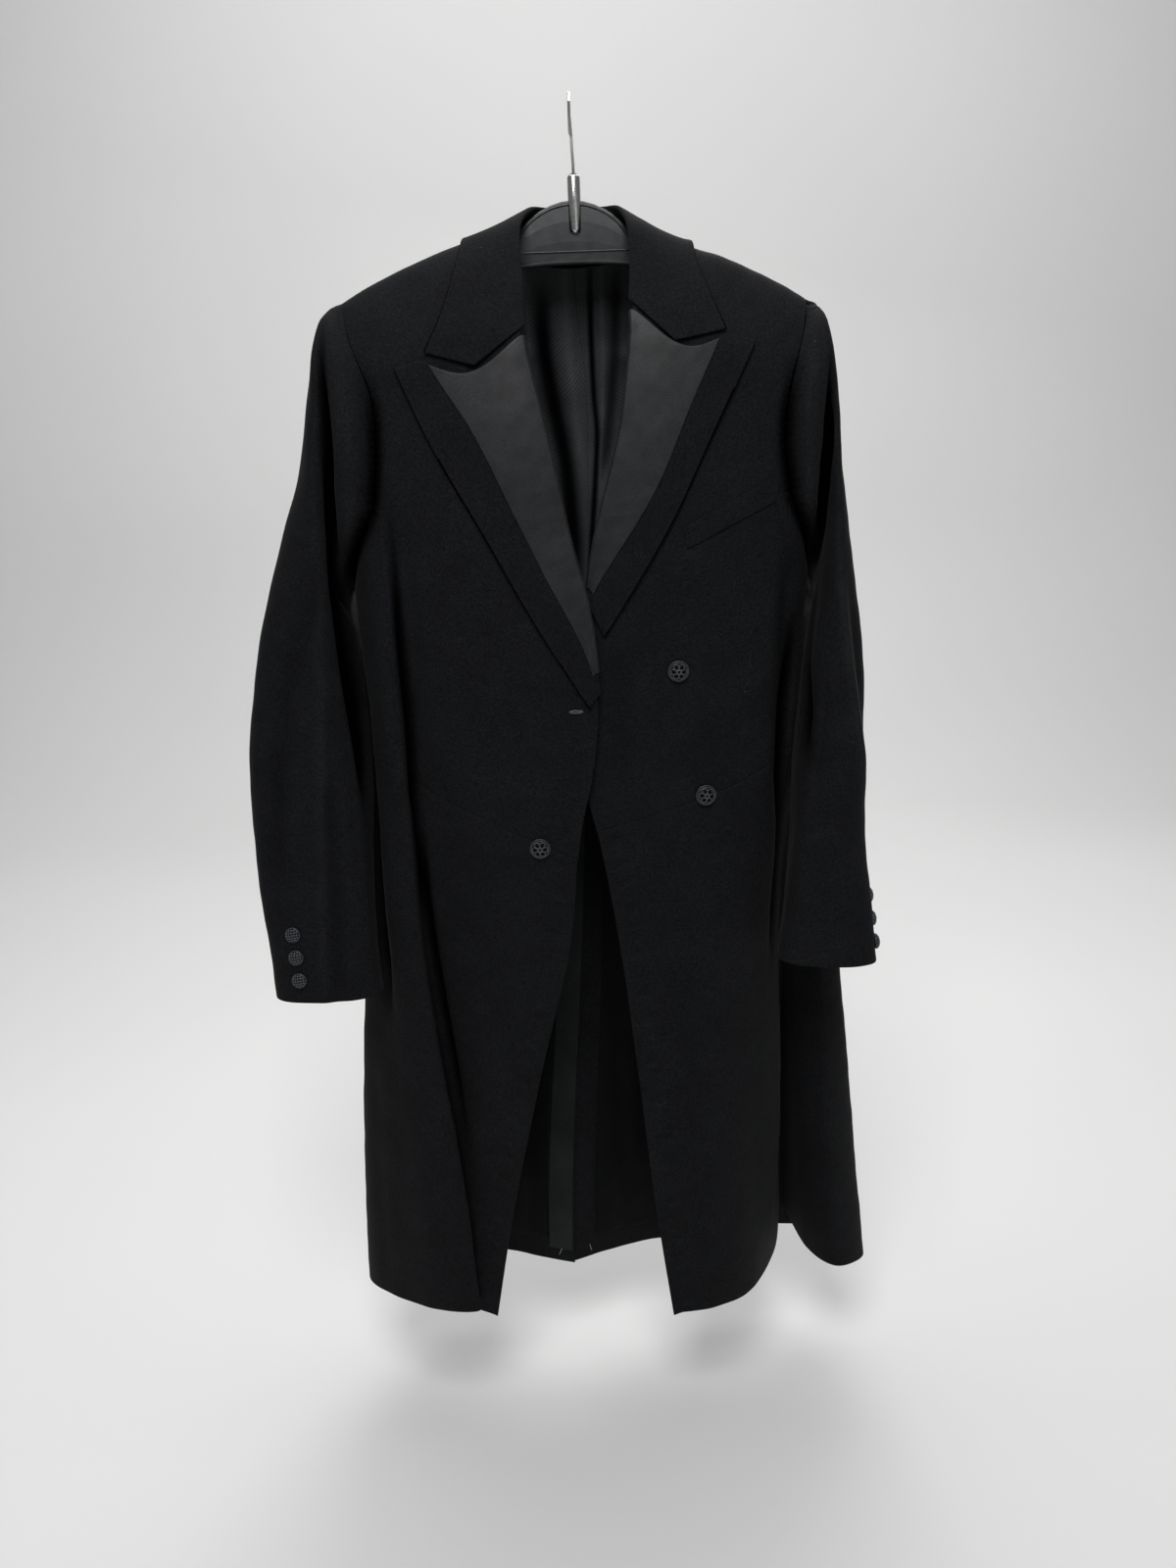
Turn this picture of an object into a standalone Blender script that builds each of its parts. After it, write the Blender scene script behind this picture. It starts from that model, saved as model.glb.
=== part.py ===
"""A long double-breasted evening coat on a plain plastic hanger, hung by its wire hook.

The coat is drawn as it hangs: one body surface, measured by how far a point drops below
the hook and by how far round the body it lies, carries every panel of the coat.
Each cut piece is a sheet of that surface with the wall of its cloth.
"""

import math

import bmesh
import bpy
import numpy as np
from mathutils import Matrix, Vector

MM = 0.001

# Cloth and seams
CLOTH = 1.6 * MM
LINING = 1.0 * MM
SILK = 1.0 * MM
SEAM = 0.3 * MM
PROBE = 0.002

# Body section
SQUARENESS = 3.0
RIDGE_REACH = 0.100
SHOULDER_HALF = 0.235
NECK_POINT = 0.054
BACK_NECK = 0.114
SIDE_SEAM = 0.840
BACK_SEAM = 2.706
SEAM_RUN = 0.22
ARMHOLE_SPLIT = 0.340
ARMHOLE_DEEP = 0.072
HEM_DROP = 1.185
BACK_LAP = 0.085
VENT_LIFT = 3.0 * MM
BLEND_FROM = 0.500
BLEND_TO = 0.680
OVERLAP_OUT = 4.0 * MM
OVERLAP_IN = 3.0 * MM

# Lapels and collar
LAPEL_REST = 2.4 * MM
LAPEL_RISE = 4.0 * MM
COLLAR_WALL = 1.8 * MM
COLLAR_REST = 3.0 * MM
COLLAR_RISE = 5.0 * MM
FOLD_HALF = 2.4 * MM

# Buttons
FRONT_BUTTON = 20 * MM
CUFF_BUTTON = 15 * MM
BUTTON_TURNS = 14
BUTTON_SEAT = 0.5 * MM

# Hanger
WIRE = 2.6 * MM
HOOK_INSIDE = 16.5 * MM
SOCKET = 6.4 * MM
RIDGE = 11.0 * MM
RIDGE_LOW = 0.1105
SOCKET_TOP = 0.062
BORE_DEEP = 0.012
PLATE = 3.6 * MM
PLATE_TOP = 0.083
PLATE_LOW = 0.1335
RIM = 7.5 * MM
ARM_HALF = 0.194
ARM_DEPTH = 20 * MM
HANGER_RING = 10

# Across the body at each drop: drop, half width, depth in front, depth behind
BODY = {
    "right": (
        (0.090, 0.235, 0.050, 0.050),
        (0.160, 0.235, 0.056, 0.056),
        (0.220, 0.232, 0.066, 0.068),
        (0.300, 0.226, 0.072, 0.077),
        (0.420, 0.2165, 0.070, 0.070),
        (0.560, 0.2182, 0.061, 0.055),
        (0.700, 0.2222, 0.058, 0.052),
        (1.200, 0.260, 0.058, 0.052),
    ),
    "left": (
        (0.090, 0.235, 0.050, 0.050),
        (0.160, 0.235, 0.056, 0.056),
        (0.220, 0.232, 0.066, 0.068),
        (0.300, 0.224, 0.072, 0.077),
        (0.420, 0.209, 0.070, 0.070),
        (0.560, 0.2042, 0.061, 0.055),
        (0.700, 0.203, 0.058, 0.052),
        (1.200, 0.230, 0.058, 0.052),
    ),
}

# The ridge of the shoulder: distance from the middle, drop
RIDGE_LINE = {
    "right": ((0.0, 0.094), (0.054, 0.104), (0.097, 0.115), (0.127, 0.125), (0.163, 0.139),
              (0.199, 0.156), (0.235, 0.178)),
    "left": ((0.0, 0.094), (0.054, 0.107), (0.107, 0.126), (0.135, 0.135), (0.178, 0.155),
             (0.200, 0.167), (0.235, 0.189)),
}

# The front edge of the forepart, roll line first: drop, distance from the middle
FRONT_EDGE = {
    "right": ((0.100, 0.055), (0.130, 0.051), (0.158, 0.0475), (0.204, 0.0470), (0.248, 0.0385),
              (0.296, 0.0285), (0.380, 0.0120),
              (0.423, 0.0010), (0.472, -0.0055), (0.530, -0.0088), (0.594, -0.0040), (0.641, 0.0025),
              (0.700, 0.0060)),
    "left": ((0.100, 0.056), (0.130, 0.052), (0.179, 0.0480), (0.204, 0.0475), (0.278, 0.0370),
             (0.340, 0.0200), (0.378, 0.0100),
             (0.434, 0.0000), (0.480, -0.0070), (0.560, -0.0080), (0.640, -0.0020), (0.700, 0.0010)),
}

# The armhole, shoulder to the top of the side seam: drop, distance from the middle
ARMHOLE = {
    "right": ((0.160, 0.2080), (0.198, 0.1990), (0.244, 0.1815), (0.295, 0.1810), (0.340, 0.1870)),
    "left": ((0.165, 0.2070), (0.201, 0.1990), (0.250, 0.1850), (0.295, 0.1810), (0.340, 0.1870)),
}

# The waist seam: how far round, drop
WAIST = {
    "right": ((-0.10, 0.678), (0.03, 0.671), (0.30, 0.646), (0.50, 0.625), (0.72, 0.600), (0.90, 0.580),
              (1.57, 0.565), (2.20, 0.560), (2.80, 0.560)),
    "left": ((-0.10, 0.655), (0.0, 0.648), (0.40, 0.622), (0.62, 0.606), (0.80, 0.590), (0.95, 0.580),
             (1.57, 0.565), (2.20, 0.560), (2.80, 0.560)),
}

# The hem of the skirt: how far round, drop
HEM = {
    "right": ((0.0, 1.184), (0.08, 1.181), (0.40, 1.172), (0.84, 1.162), (1.15, 1.160), (1.57, 1.168),
              (2.10, 1.180), (2.70, 1.185)),
    "left": ((0.0, 1.182), (0.10, 1.179), (0.40, 1.177), (0.84, 1.174), (1.15, 1.160), (1.45, 1.172),
             (1.75, 1.173), (2.10, 1.182), (2.70, 1.185)),
}

# How far round the skirt each of its named lines lies
SKIRT_ROUND = {
    "right": (0.0, 0.40, 0.70, 0.84, 1.15, 1.571, 2.10, 2.60, 2.706, 2.85, 3.142),
    "left": (0.0, 0.40, 0.70, 0.84, 1.15, 1.45, 1.75, 2.05, 2.35, 2.60, 2.706, 2.85, 3.142),
}

# Skirts, a row per level: drop, then out from the middle and forward for each line
# right: edge, front, valley, lip, lobe, side, hip, pleat lip, pleat, back, middle
# left: edge, front, turn, corner, fold floor, lobe edge, lobe, side, hip, pleat lip, pleat, back, middle
SKIRT = {
    "right": (
        (0.60, (0.006, -0.060), (0.088, -0.060), (0.158, -0.038), (0.170, -0.048), (0.200, -0.036),
         (0.2192, 0.000),
         (0.185, 0.045), (0.110, 0.054), (0.095, 0.050), (0.060, 0.054), (0.000, 0.052)),
        (0.75, (0.019, -0.057), (0.095, -0.059), (0.170, -0.030), (0.167, -0.054), (0.202, -0.046),
         (0.2335, 0.004),
         (0.205, 0.058), (0.115, 0.060), (0.100, 0.052), (0.064, 0.056), (0.000, 0.050)),
        (0.90, (0.057, -0.054), (0.113, -0.055), (0.174, -0.022), (0.155, -0.060), (0.201, -0.052),
         (0.2490, 0.000),
         (0.222, 0.070), (0.125, 0.072), (0.108, 0.060), (0.068, 0.060), (0.000, 0.046)),
        (1.05, (0.092, -0.052), (0.134, -0.050), (0.172, -0.018), (0.141, -0.064), (0.196, -0.057),
         (0.259, 0.000),
         (0.235, 0.078), (0.135, 0.085), (0.116, 0.072), (0.072, 0.066), (0.000, 0.042)),
        (1.20, (0.121, -0.050), (0.148, -0.044), (0.170, -0.015), (0.133, -0.066), (0.192, -0.062),
         (0.265, 0.000),
         (0.245, 0.085), (0.142, 0.100), (0.122, 0.078), (0.076, 0.064), (0.000, 0.040)),
    ),
    "left": (
        (0.60, (-0.004, -0.055), (0.085, -0.058), (0.152, -0.046), (0.178, -0.036), (0.193, -0.020),
         (0.201, -0.006),
         (0.203, 0.010), (0.196, 0.028), (0.165, 0.046), (0.110, 0.054), (0.095, 0.050), (0.060, 0.054),
         (0.000, 0.052)),
        (0.75, (0.020, -0.053), (0.092, -0.060), (0.150, -0.050), (0.176, -0.026), (0.192, 0.018),
         (0.207, 0.012),
         (0.226, 0.006), (0.243, 0.030), (0.205, 0.062), (0.115, 0.060), (0.100, 0.052), (0.064, 0.056),
         (0.000, 0.050)),
        (0.90, (0.0365, -0.053), (0.100, -0.058), (0.152, -0.046), (0.184, -0.012), (0.197, 0.052),
         (0.211, 0.024),
         (0.237, 0.003), (0.263, 0.034), (0.225, 0.075), (0.125, 0.072), (0.108, 0.060), (0.068, 0.060),
         (0.000, 0.046)),
        (1.05, (0.051, -0.056), (0.108, -0.056), (0.155, -0.036), (0.189, 0.010), (0.203, 0.080),
         (0.218, 0.032),
         (0.245, 0.000), (0.277, 0.034), (0.240, 0.085), (0.135, 0.085), (0.116, 0.072), (0.072, 0.066),
         (0.000, 0.042)),
        (1.20, (0.070, -0.060), (0.115, -0.054), (0.158, -0.024), (0.190, 0.040), (0.208, 0.104),
         (0.226, 0.036),
         (0.254, 0.000), (0.292, 0.034), (0.250, 0.092), (0.142, 0.100), (0.122, 0.086), (0.076, 0.078),
         (0.000, 0.040)),
    ),
}

# The middle of the back drifts to the wearer's right towards the hem: drop, x
BACK_LINE = ((0.10, 0.0), (0.15, 0.0), (0.24, 0.008), (0.45, 0.002), (0.745, -0.011), (1.047, -0.032),
             (1.20, -0.038))

# Sleeves, a row per section: place along, outer point (out, drop), inner point (out, drop), middle y, half depth
SLEEVE = {
    "right": (
        (0.10, 0.226, 0.173, 0.2240, 0.428, 0.000, 0.062),
        (0.18, 0.240, 0.226, 0.2220, 0.455, -0.002, 0.060),
        (0.28, 0.256, 0.300, 0.2205, 0.500, -0.004, 0.056),
        (0.40, 0.286, 0.385, 0.2195, 0.545, -0.008, 0.050),
        (0.52, 0.310, 0.468, 0.2190, 0.590, -0.014, 0.045),
        (0.64, 0.323, 0.550, 0.2190, 0.635, -0.022, 0.040),
        (0.76, 0.325, 0.632, 0.2180, 0.685, -0.034, 0.034),
        (0.88, 0.321, 0.708, 0.2160, 0.738, -0.048, 0.029),
        (1.00, 0.314, 0.798, 0.2110, 0.797, -0.062, 0.026),
    ),
    "left": (
        (0.10, 0.220, 0.182, 0.2160, 0.428, 0.000, 0.062),
        (0.18, 0.231, 0.238, 0.2120, 0.455, -0.004, 0.060),
        (0.28, 0.235, 0.310, 0.2070, 0.500, -0.014, 0.056),
        (0.40, 0.2435, 0.388, 0.2030, 0.545, -0.026, 0.050),
        (0.52, 0.2535, 0.467, 0.1990, 0.585, -0.038, 0.044),
        (0.64, 0.2575, 0.545, 0.1950, 0.630, -0.048, 0.039),
        (0.76, 0.252, 0.624, 0.1880, 0.680, -0.056, 0.034),
        (0.88, 0.257, 0.698, 0.1810, 0.728, -0.063, 0.030),
        (1.00, 0.268, 0.778, 0.1730, 0.773, -0.070, 0.027),
    ),
}
# Sleeve seams, in degrees round the sleeve from its outer point over the front, at the armhole and at the cuff
HIND_SEAM = {"right": (-55.0, 58.0), "left": (-60.0, 10.0)}
FORE_SEAM = {"right": (130.0, 235.0), "left": (130.0, 195.0)}
SLEEVE_VALLEY = {"right": (0.2260, 0.2240), "left": (0.2230, 0.2080)}

# Lapels, a row per line across: place along, drop of the roll, outer edge (out, drop), share of it in silk
LAPEL = {
    "right": (
        (0.00, 0.200, 0.158, 0.224, 0.73),
        (0.25, 0.262, 0.124, 0.300, 0.61),
        (0.50, 0.346, 0.083, 0.376, 0.55),
        (0.75, 0.426, 0.040, 0.457, 0.42),
        (1.00, 0.512, 0.000, 0.524, 0.10),
    ),
    "left": (
        (0.00, 0.182, 0.153, 0.212, 0.70),
        (0.25, 0.252, 0.117, 0.283, 0.66),
        (0.50, 0.318, 0.082, 0.354, 0.60),
        (0.75, 0.374, 0.047, 0.412, 0.42),
        (1.00, 0.428, 0.016, 0.460, 0.10),
    ),
}
PEAK_SAG = {"right": 0.020, "left": 0.020}

# Collar, from the wearer's right end to the left: place, then fold (x, y, drop), or the drop alone where it rolls
# over the front edge, then neck seam, middle of the leaf and leaf edge (x, degrees over the shoulder, behind positive)
COLLAR = (
    (0.00, 0.1935, (-0.0475, -85), (-0.088, -97), (-0.131, -82)),
    (0.12, 0.1520, (-0.0487, -59), (-0.080, -66), (-0.113, -64)),
    (0.22, (-0.0455, -0.0275, 0.1090), (-0.0520, -29), (-0.074, -33), (-0.100, -35)),
    (0.32, (-0.0370, 0.0020, 0.0885), (-0.0540, 0), (-0.068, 4), (-0.092, 6)),
    (0.41, (-0.0220, 0.0250, 0.0830), (-0.0360, 24), (-0.040, 38), (-0.058, 46)),
    (0.50, (0.0040, 0.0335, 0.0840), (0.0020, 37), (0.004, 48), (0.006, 60)),
    (0.59, (0.0280, 0.0250, 0.0835), (0.0360, 24), (0.046, 38), (0.064, 46)),
    (0.68, (0.0400, 0.0020, 0.0895), (0.0540, 0), (0.072, 4), (0.098, 6)),
    (0.78, (0.0465, -0.0275, 0.1110), (0.0525, -29), (0.077, -32), (0.105, -34)),
    (0.88, 0.1480, (0.0495, -56), (0.081, -58), (0.116, -55)),
    (1.00, 0.1750, (0.0480, -76), (0.083, -86), (0.128, -72)),
)

# Breast pocket welt on the wearer's left: upper then lower corners, out from the middle and drop
WELT = ((0.088, 0.365), (0.175, 0.322), (0.091, 0.384), (0.172, 0.345))
WELT_WALL = 1.2 * MM
WELT_LIFT = 1.5 * MM

# Buttons on the body: name, side, out from the middle, drop
BODY_BUTTONS = (
    ("front_button_upper", "left", 0.082, 0.493),
    ("front_button_lower", "left", 0.105, 0.613),
    ("front_button_right", "right", 0.047, 0.658),
)
CUFF_DROPS = {"right": (0.731, 0.753, 0.775), "left": (0.713, 0.736, 0.759)}

SIDES = {"right": -1.0, "left": 1.0}


def curve(stops, values, at):
    """A smooth curve through the stops; values may hold one number or one array per stop."""
    at, stops = np.asarray(at, float), np.asarray(stops, float)
    values = np.stack([np.asarray(v, float) for v in values])
    ends = np.arange(len(stops))
    low, high = np.maximum(ends - 1, 0), np.minimum(ends + 1, len(stops) - 1)
    spread = (stops[high] - stops[low]).reshape(-1, *(1,) * (values.ndim - 1))
    slopes = (values[high] - values[low]) / spread
    held = np.clip(at, stops[0], stops[-1])
    first = np.clip(np.searchsorted(stops, held, side="right") - 1, 0, len(stops) - 2)

    def taken(table, index):
        if table.ndim == 1:
            return table[index]
        shape = np.broadcast_shapes(index.shape, table.shape[1:])
        table = table.reshape(len(table), *(1,) * (len(shape) + 1 - table.ndim), *table.shape[1:])
        table = np.broadcast_to(table, (len(table), *shape))
        return np.take_along_axis(table, np.broadcast_to(index, shape)[None], 0)[0]

    span = stops[first + 1] - stops[first]
    s = (held - stops[first]) / span
    t = 1 - s
    bent = (
        (1 + 2 * s) * t * t * taken(values, first)
        + s * t * t * span * taken(slopes, first)
        + s * s * (1 + 2 * t) * taken(values, first + 1)
        - s * s * t * span * taken(slopes, first + 1)
    )
    return bent + (at - held) * np.where(at < stops[0], slopes[0], slopes[-1])


def column(table, key, at):
    """One column of a table of plain rows, keyed by its first column."""
    return curve([row[0] for row in table], [row[key] for row in table], at)


def smooth(x):
    """0 below 0, 1 above 1, and eased between."""
    x = np.clip(x, 0.0, 1.0)
    return x * x * (3 - 2 * x)


def section(turn):
    """The unit section of the body: how far out and how far forward, at this turn round it."""
    s, c = np.sin(turn), np.cos(turn)
    size = (np.abs(s) ** SQUARENESS + np.abs(c) ** SQUARENESS) ** (1 / SQUARENESS)
    return s / size, c / size


def turn_of(share):
    """The turn in front at which the section is this share of its half width."""
    share = np.clip(share, -0.9999, 0.9999)
    rest = (1 - np.abs(share) ** SQUARENESS) ** (1 / SQUARENESS)
    return np.arctan2(share, rest)


def front_turn(side, out, drop):
    return turn_of(out / column(BODY[side], 1, drop))


def skirt_point(side, turn, drop):
    """Out from the middle and backward, on the skirts."""
    rounds, rows = SKIRT_ROUND[side], SKIRT[side]
    beyond = turn > math.pi
    near = np.where(beyond, 2 * math.pi - turn, turn)
    drops = [row[0] for row in rows]
    outs = [curve(rounds, [p[0] for p in row[1:]], near) for row in rows]
    depths = [curve(rounds, [p[1] for p in row[1:]], near) for row in rows]
    out = curve(drops, outs, drop)
    return np.where(beyond, -out, out), curve(drops, depths, drop)


def body(side, turn, drop):
    """A point of the coat's outer face, at this turn round the body and this drop below the hook."""
    turn, drop = np.broadcast_arrays(np.asarray(turn, float), np.asarray(drop, float))
    out, fore = section(turn)
    wide = column(BODY[side], 1, drop)
    front = (1 + np.cos(turn)) / 2
    deep = column(BODY[side], 2, drop) * front + column(BODY[side], 3, drop) * (1 - front)
    ridge = column(RIDGE_LINE[side], 1, np.abs(SHOULDER_HALF * out))
    reach = np.clip((drop - ridge) / RIDGE_REACH, 0.0, 1.0)
    round_off = np.sqrt(1 - (1 - reach) ** 2)
    x, y = wide * out, -deep * fore * round_off
    # the long fold that runs down the wearer's right side
    if side == "right":
        y = y + 0.016 * smooth((drop - 0.34) / 0.20) * np.exp(-(((turn - 0.73) / 0.07) ** 2))
        y = y - 0.006 * smooth((drop - 0.34) / 0.20) * np.exp(-(((turn - 0.92) / 0.10) ** 2))
    hung = smooth((drop - BLEND_FROM) / (BLEND_TO - BLEND_FROM))
    skirt_x, skirt_y = skirt_point(side, turn, drop)
    x = x + (skirt_x - x) * hung
    y = y + (skirt_y - y) * hung
    # the wearer's right front lies over the left one
    lapped = smooth((drop - 0.36) / 0.06) * smooth((0.74 - drop) / 0.06) * np.exp(-((turn / 0.22) ** 2))
    y = y + np.where(side == "right", -OVERLAP_OUT, OVERLAP_IN) * lapped
    # below the waist the wearer's left back laps over the right one
    vent = smooth((drop - 0.56) / 0.04) * np.exp(-(((turn - math.pi) / 0.22) ** 2))
    y = y + np.where(side == "left", VENT_LIFT, -VENT_LIFT / 4) * vent
    off_middle = np.abs(turn - math.pi) / (math.pi - 2.2)
    drift = column(BACK_LINE, 1, drop) * smooth(1 - off_middle)
    return np.stack([SIDES[side] * x + drift, y, -drop], axis=-1)


def normals(surface, u, v, turn_sign, u_span=(-9, 9), v_span=(-9, 9)):
    """Outward unit normals of a surface, from points a small step either way."""
    step = PROBE
    across = surface(np.clip(u + step, *u_span), v) - surface(np.clip(u - step, *u_span), v)
    along = surface(u, np.clip(v + step, *v_span)) - surface(u, np.clip(v - step, *v_span))
    n = np.cross(across, along) * turn_sign
    return n / np.maximum(np.linalg.norm(n, axis=-1, keepdims=True), 1e-12)


def grid_object(name, face, back, nodes, material):
    """A closed sheet between two grids of points of one shape."""
    rows, cols = face.shape[:2]
    mesh = bmesh.new()
    sheets = []
    for points in (face, back):
        made = bmesh.ops.create_grid(mesh, x_segments=cols - 1, y_segments=rows - 1, size=0.5)["verts"]
        made.sort(key=lambda vert: (round(vert.co.y, 6), round(vert.co.x, 6)))
        for vert, co in zip(made, points.reshape(-1, 3)):
            vert.co = Vector(co)
        sheets.append(made)
    rims = []
    for made in sheets:
        mine = set(made)
        rims += [edge for edge in mesh.edges if edge.is_boundary and edge.verts[0] in mine]
    bmesh.ops.bridge_loops(mesh, edges=rims)
    return finish(name, mesh, nodes, material)


def finish(name, mesh, nodes, material):
    bmesh.ops.recalc_face_normals(mesh, faces=mesh.faces)
    data = bpy.data.meshes.new(name)
    mesh.to_mesh(data)
    mesh.free()
    thing = bpy.data.objects.new(name, data)
    data.materials.append(material)
    nodes.objects.link(thing)
    return thing


def panel(name, surface, u_stops, v_stops, wall, turn_sign, nodes, material, lift=0.0, u_span=(-9, 9),
          v_span=(-9, 9)):
    """A sheet of cloth on a surface: its face lifted off it, its back one wall behind."""
    v, u = np.meshgrid(v_stops, u_stops, indexing="ij")
    face = surface(u, v)
    n = normals(surface, u, v, turn_sign, u_span, v_span)
    face = face + n * lift
    return grid_object(name, face, face - n * wall, nodes, material)


def material(name, colour, rough, metal=0.0, sheen=0.0):
    made = bpy.data.materials.new(name)
    made.use_nodes = True
    shader = made.node_tree.nodes["Principled BSDF"]
    shader.inputs["Base Color"].default_value = (*colour, 1.0)
    shader.inputs["Roughness"].default_value = rough
    shader.inputs["Metallic"].default_value = metal
    shader.inputs["Sheen Weight"].default_value = sheen
    return made


# How far down each panel its rows of corners lie
FOREPART_ROWS = np.array([8e-6, 0.0042, 0.0165, 0.0365, 0.069, 0.111, 0.16, 0.22, 0.28, 0.35, 0.426,
                          0.50, 0.57, 0.64, 0.71, 0.78, 0.85, 0.92, 0.9986])
FOREPART_COLUMNS = np.array([0.0, 0.11, 0.22, 0.33, 0.44, 0.55, 0.64, 0.72, 0.78, 0.83, 0.88, 0.93,
                             0.997])
BACK_ROWS = np.array([4e-6, 0.002, 0.008, 0.018, 0.034, 0.054, 0.078, 0.11, 0.145])
SEAM_DROPS = np.array([0.342, 0.374, 0.411, 0.448, 0.485, 0.522, 0.5595])
SKIRT_DROPS = np.array([0.60, 0.65, 0.71, 0.78, 0.86, 0.94, 1.02, 1.10, HEM_DROP])
LINING_ROWS = np.array([0.014, 0.024, 0.034, 0.054, 0.078, 0.11, 0.16, 0.22, 0.28, 0.34, 0.40])
SLEEVE_ROWS = np.array([0.002, 0.03, 0.065, 0.10, 0.14, 0.18, 0.23, 0.28, 0.34, 0.40, 0.48, 0.56, 0.65,
                        0.74, 0.83, 0.92, 1.0])


# Panels of the body


def armhole_turn(side, drop):
    """The armhole in front, down to the top of the side seam."""
    drop = np.minimum(drop, ARMHOLE_SPLIT)
    return front_turn(side, column(ARMHOLE[side], 1, drop), drop)


def side_line(side, drop):
    """The turn of the armhole and then of the side seam."""
    hole = armhole_turn(side, drop)
    return hole + (SIDE_SEAM - hole) * np.clip((drop - ARMHOLE_SPLIT) / SEAM_RUN, 0, 1)


def back_line(side, drop):
    """The turn of the armhole behind and then of the back seam."""
    hole = math.pi - armhole_turn(side, drop)
    return hole + (BACK_SEAM - hole) * np.clip((drop - ARMHOLE_SPLIT) / SEAM_RUN, 0, 1)


def armhole_floor(share):
    """The drop of the armhole below the side seam's top, from its front (0) to its back (1)."""
    return ARMHOLE_SPLIT + ARMHOLE_DEEP * np.sin(math.pi * np.clip(share, 0, 1)) ** 0.8


def forepart(side):
    """Across u from the front edge to the armhole and side seam, down v from shoulder to waist."""

    def edge_turn(drop):
        return front_turn(side, column(FRONT_EDGE[side], 1, drop) + 3 * SEAM, drop)

    def surface(u, v):
        drop = 0.12 + 0.5 * v
        for _ in range(6):
            turn = edge_turn(drop) + (side_line(side, drop) - edge_turn(drop)) * u
            top = column(RIDGE_LINE[side], 1, np.abs(SHOULDER_HALF * section(turn)[0]))
            low = column(WAIST[side], 1, turn)
            drop = top + (low - top) * v
        return body(side, turn, drop)

    return surface


def armhole_turns(side, place):
    """The armhole's turn and drop, at a place from 0 at the shoulder, over the front, to 1 there again."""
    place = np.mod(place, 1.0)
    top = ARMHOLE[side][0][0]
    fall = top + (ARMHOLE_SPLIT - top) * np.clip(np.minimum(place, 1 - place) / 0.3, 0, 1)
    turn = armhole_turn(side, fall)
    turn = np.where(place > 0.5, math.pi - turn, turn)
    low = np.clip((place - 0.3) / 0.4, 0, 1)
    first = armhole_turn(side, ARMHOLE_SPLIT)
    beneath = (place > 0.3) & (place < 0.7)
    turn = np.where(beneath, first + (math.pi - 2 * first) * low, turn)
    return turn, np.where(beneath, armhole_floor(low), fall)


def side_panel(side):
    """Across u from the side seam to the back seam, down v from the armhole to the waist."""

    def surface(u, v):
        hole = armhole_floor(u)
        drop = hole + 0.2 * v
        for _ in range(6):
            turn = side_line(side, drop) + (back_line(side, drop) - side_line(side, drop)) * u
            low = column(WAIST[side], 1, turn)
            drop = hole + (low - hole) * v
        return body(side, turn, drop)

    return surface


def back_rows(side):
    """Places down the back: down to the armhole, then at the drops it shares with the side body, then to the hem."""
    drops = np.concatenate([SEAM_DROPS, SKIRT_DROPS])
    top = column(RIDGE_LINE[side], 1, SHOULDER_HALF * section(back_line(side, drops))[0])
    return np.concatenate([BACK_ROWS, (drops - top) / (HEM_DROP - top)])


def back_panel(side, lap=0.0):
    """Across u from the armhole and back seam to the middle, down v from the neck to the hem."""

    def surface(u, v):
        drop = 0.12 + 1.0 * v
        for _ in range(6):
            last = math.pi + lap * smooth((drop - 0.62) / 0.05)
            turn = back_line(side, drop) + (last - back_line(side, drop)) * u
            out = np.abs(SHOULDER_HALF * section(turn)[0])
            ridge = column(RIDGE_LINE[side], 1, out)
            neck = BACK_NECK - (BACK_NECK - column(RIDGE_LINE[side], 1,
                                                   NECK_POINT)) * (out / NECK_POINT) ** 2
            top = np.where(out < NECK_POINT, neck, ridge)
            drop = top + (HEM_DROP - top) * v
        return body(side, turn, drop)

    return surface


def skirt_panel(side):
    """Across u from the front edge to the pleat, down v from the waist seam to the hem."""

    def surface(u, v):
        first = 0.03 if side == "right" else 0.0
        turn = first + (BACK_SEAM - first) * u
        top = column(WAIST[side], 1, turn)
        hem = column(HEM[side], 1, turn)
        return body(side, turn, top + (hem - top) * v)

    return surface


def sleeve_tube(side):
    """Round u from the outer line over the front and back again, down v from armhole to cuff."""
    rows = SLEEVE[side]
    sign = SIDES[side]

    def ring(row, u):
        _, out_a, out_h, in_a, in_h, mid_y, half_y = row
        angle = 2 * math.pi * u
        along = np.cos(angle)
        size = (np.abs(np.cos(angle)) ** 2.4 + np.abs(np.sin(angle)) ** 2.4) ** (1 / 2.4)
        along, across = along / size, np.sin(angle) / size
        a = (out_a + in_a) / 2 + (out_a - in_a) / 2 * along
        h = (out_h + in_h) / 2 + (out_h - in_h) / 2 * along
        return np.stack([sign * a, mid_y - half_y * across, -h], axis=-1)

    def surface(u, v):
        u, v = np.broadcast_arrays(np.asarray(u, float), np.asarray(v, float))
        turn, drop = armhole_turns(side, u)
        first = body(side, turn, drop)
        stops = [0.0] + [row[0] for row in rows]
        point = curve(stops, [first] + [ring(row, u) for row in rows], v[..., None])
        # the drag fold at the front of the armhole
        in_front = smooth(np.sin(2 * math.pi * u) * 2)
        fall = -point[..., 2]
        top_a, low_a = SLEEVE_VALLEY[side]
        line = top_a + (low_a - top_a) * np.clip((fall - 0.22) / 0.26, 0, 1)
        strength = 0.014 * smooth((fall - 0.20) / 0.10) * smooth((0.52 - fall) / 0.08)
        pinch = strength * np.exp(-(((np.abs(point[..., 0]) - line) / 0.009) ** 2)) * in_front
        moved = point.copy()
        moved[..., 1] = moved[..., 1] + pinch
        return moved

    return surface


def sleeve_seam(side, table, v):
    """How far round the sleeve a seam lies, as a share of a full turn, at v down it."""
    top, cuff = table[side]
    return (top + (cuff - top) * smooth(v)) / 360


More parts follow.
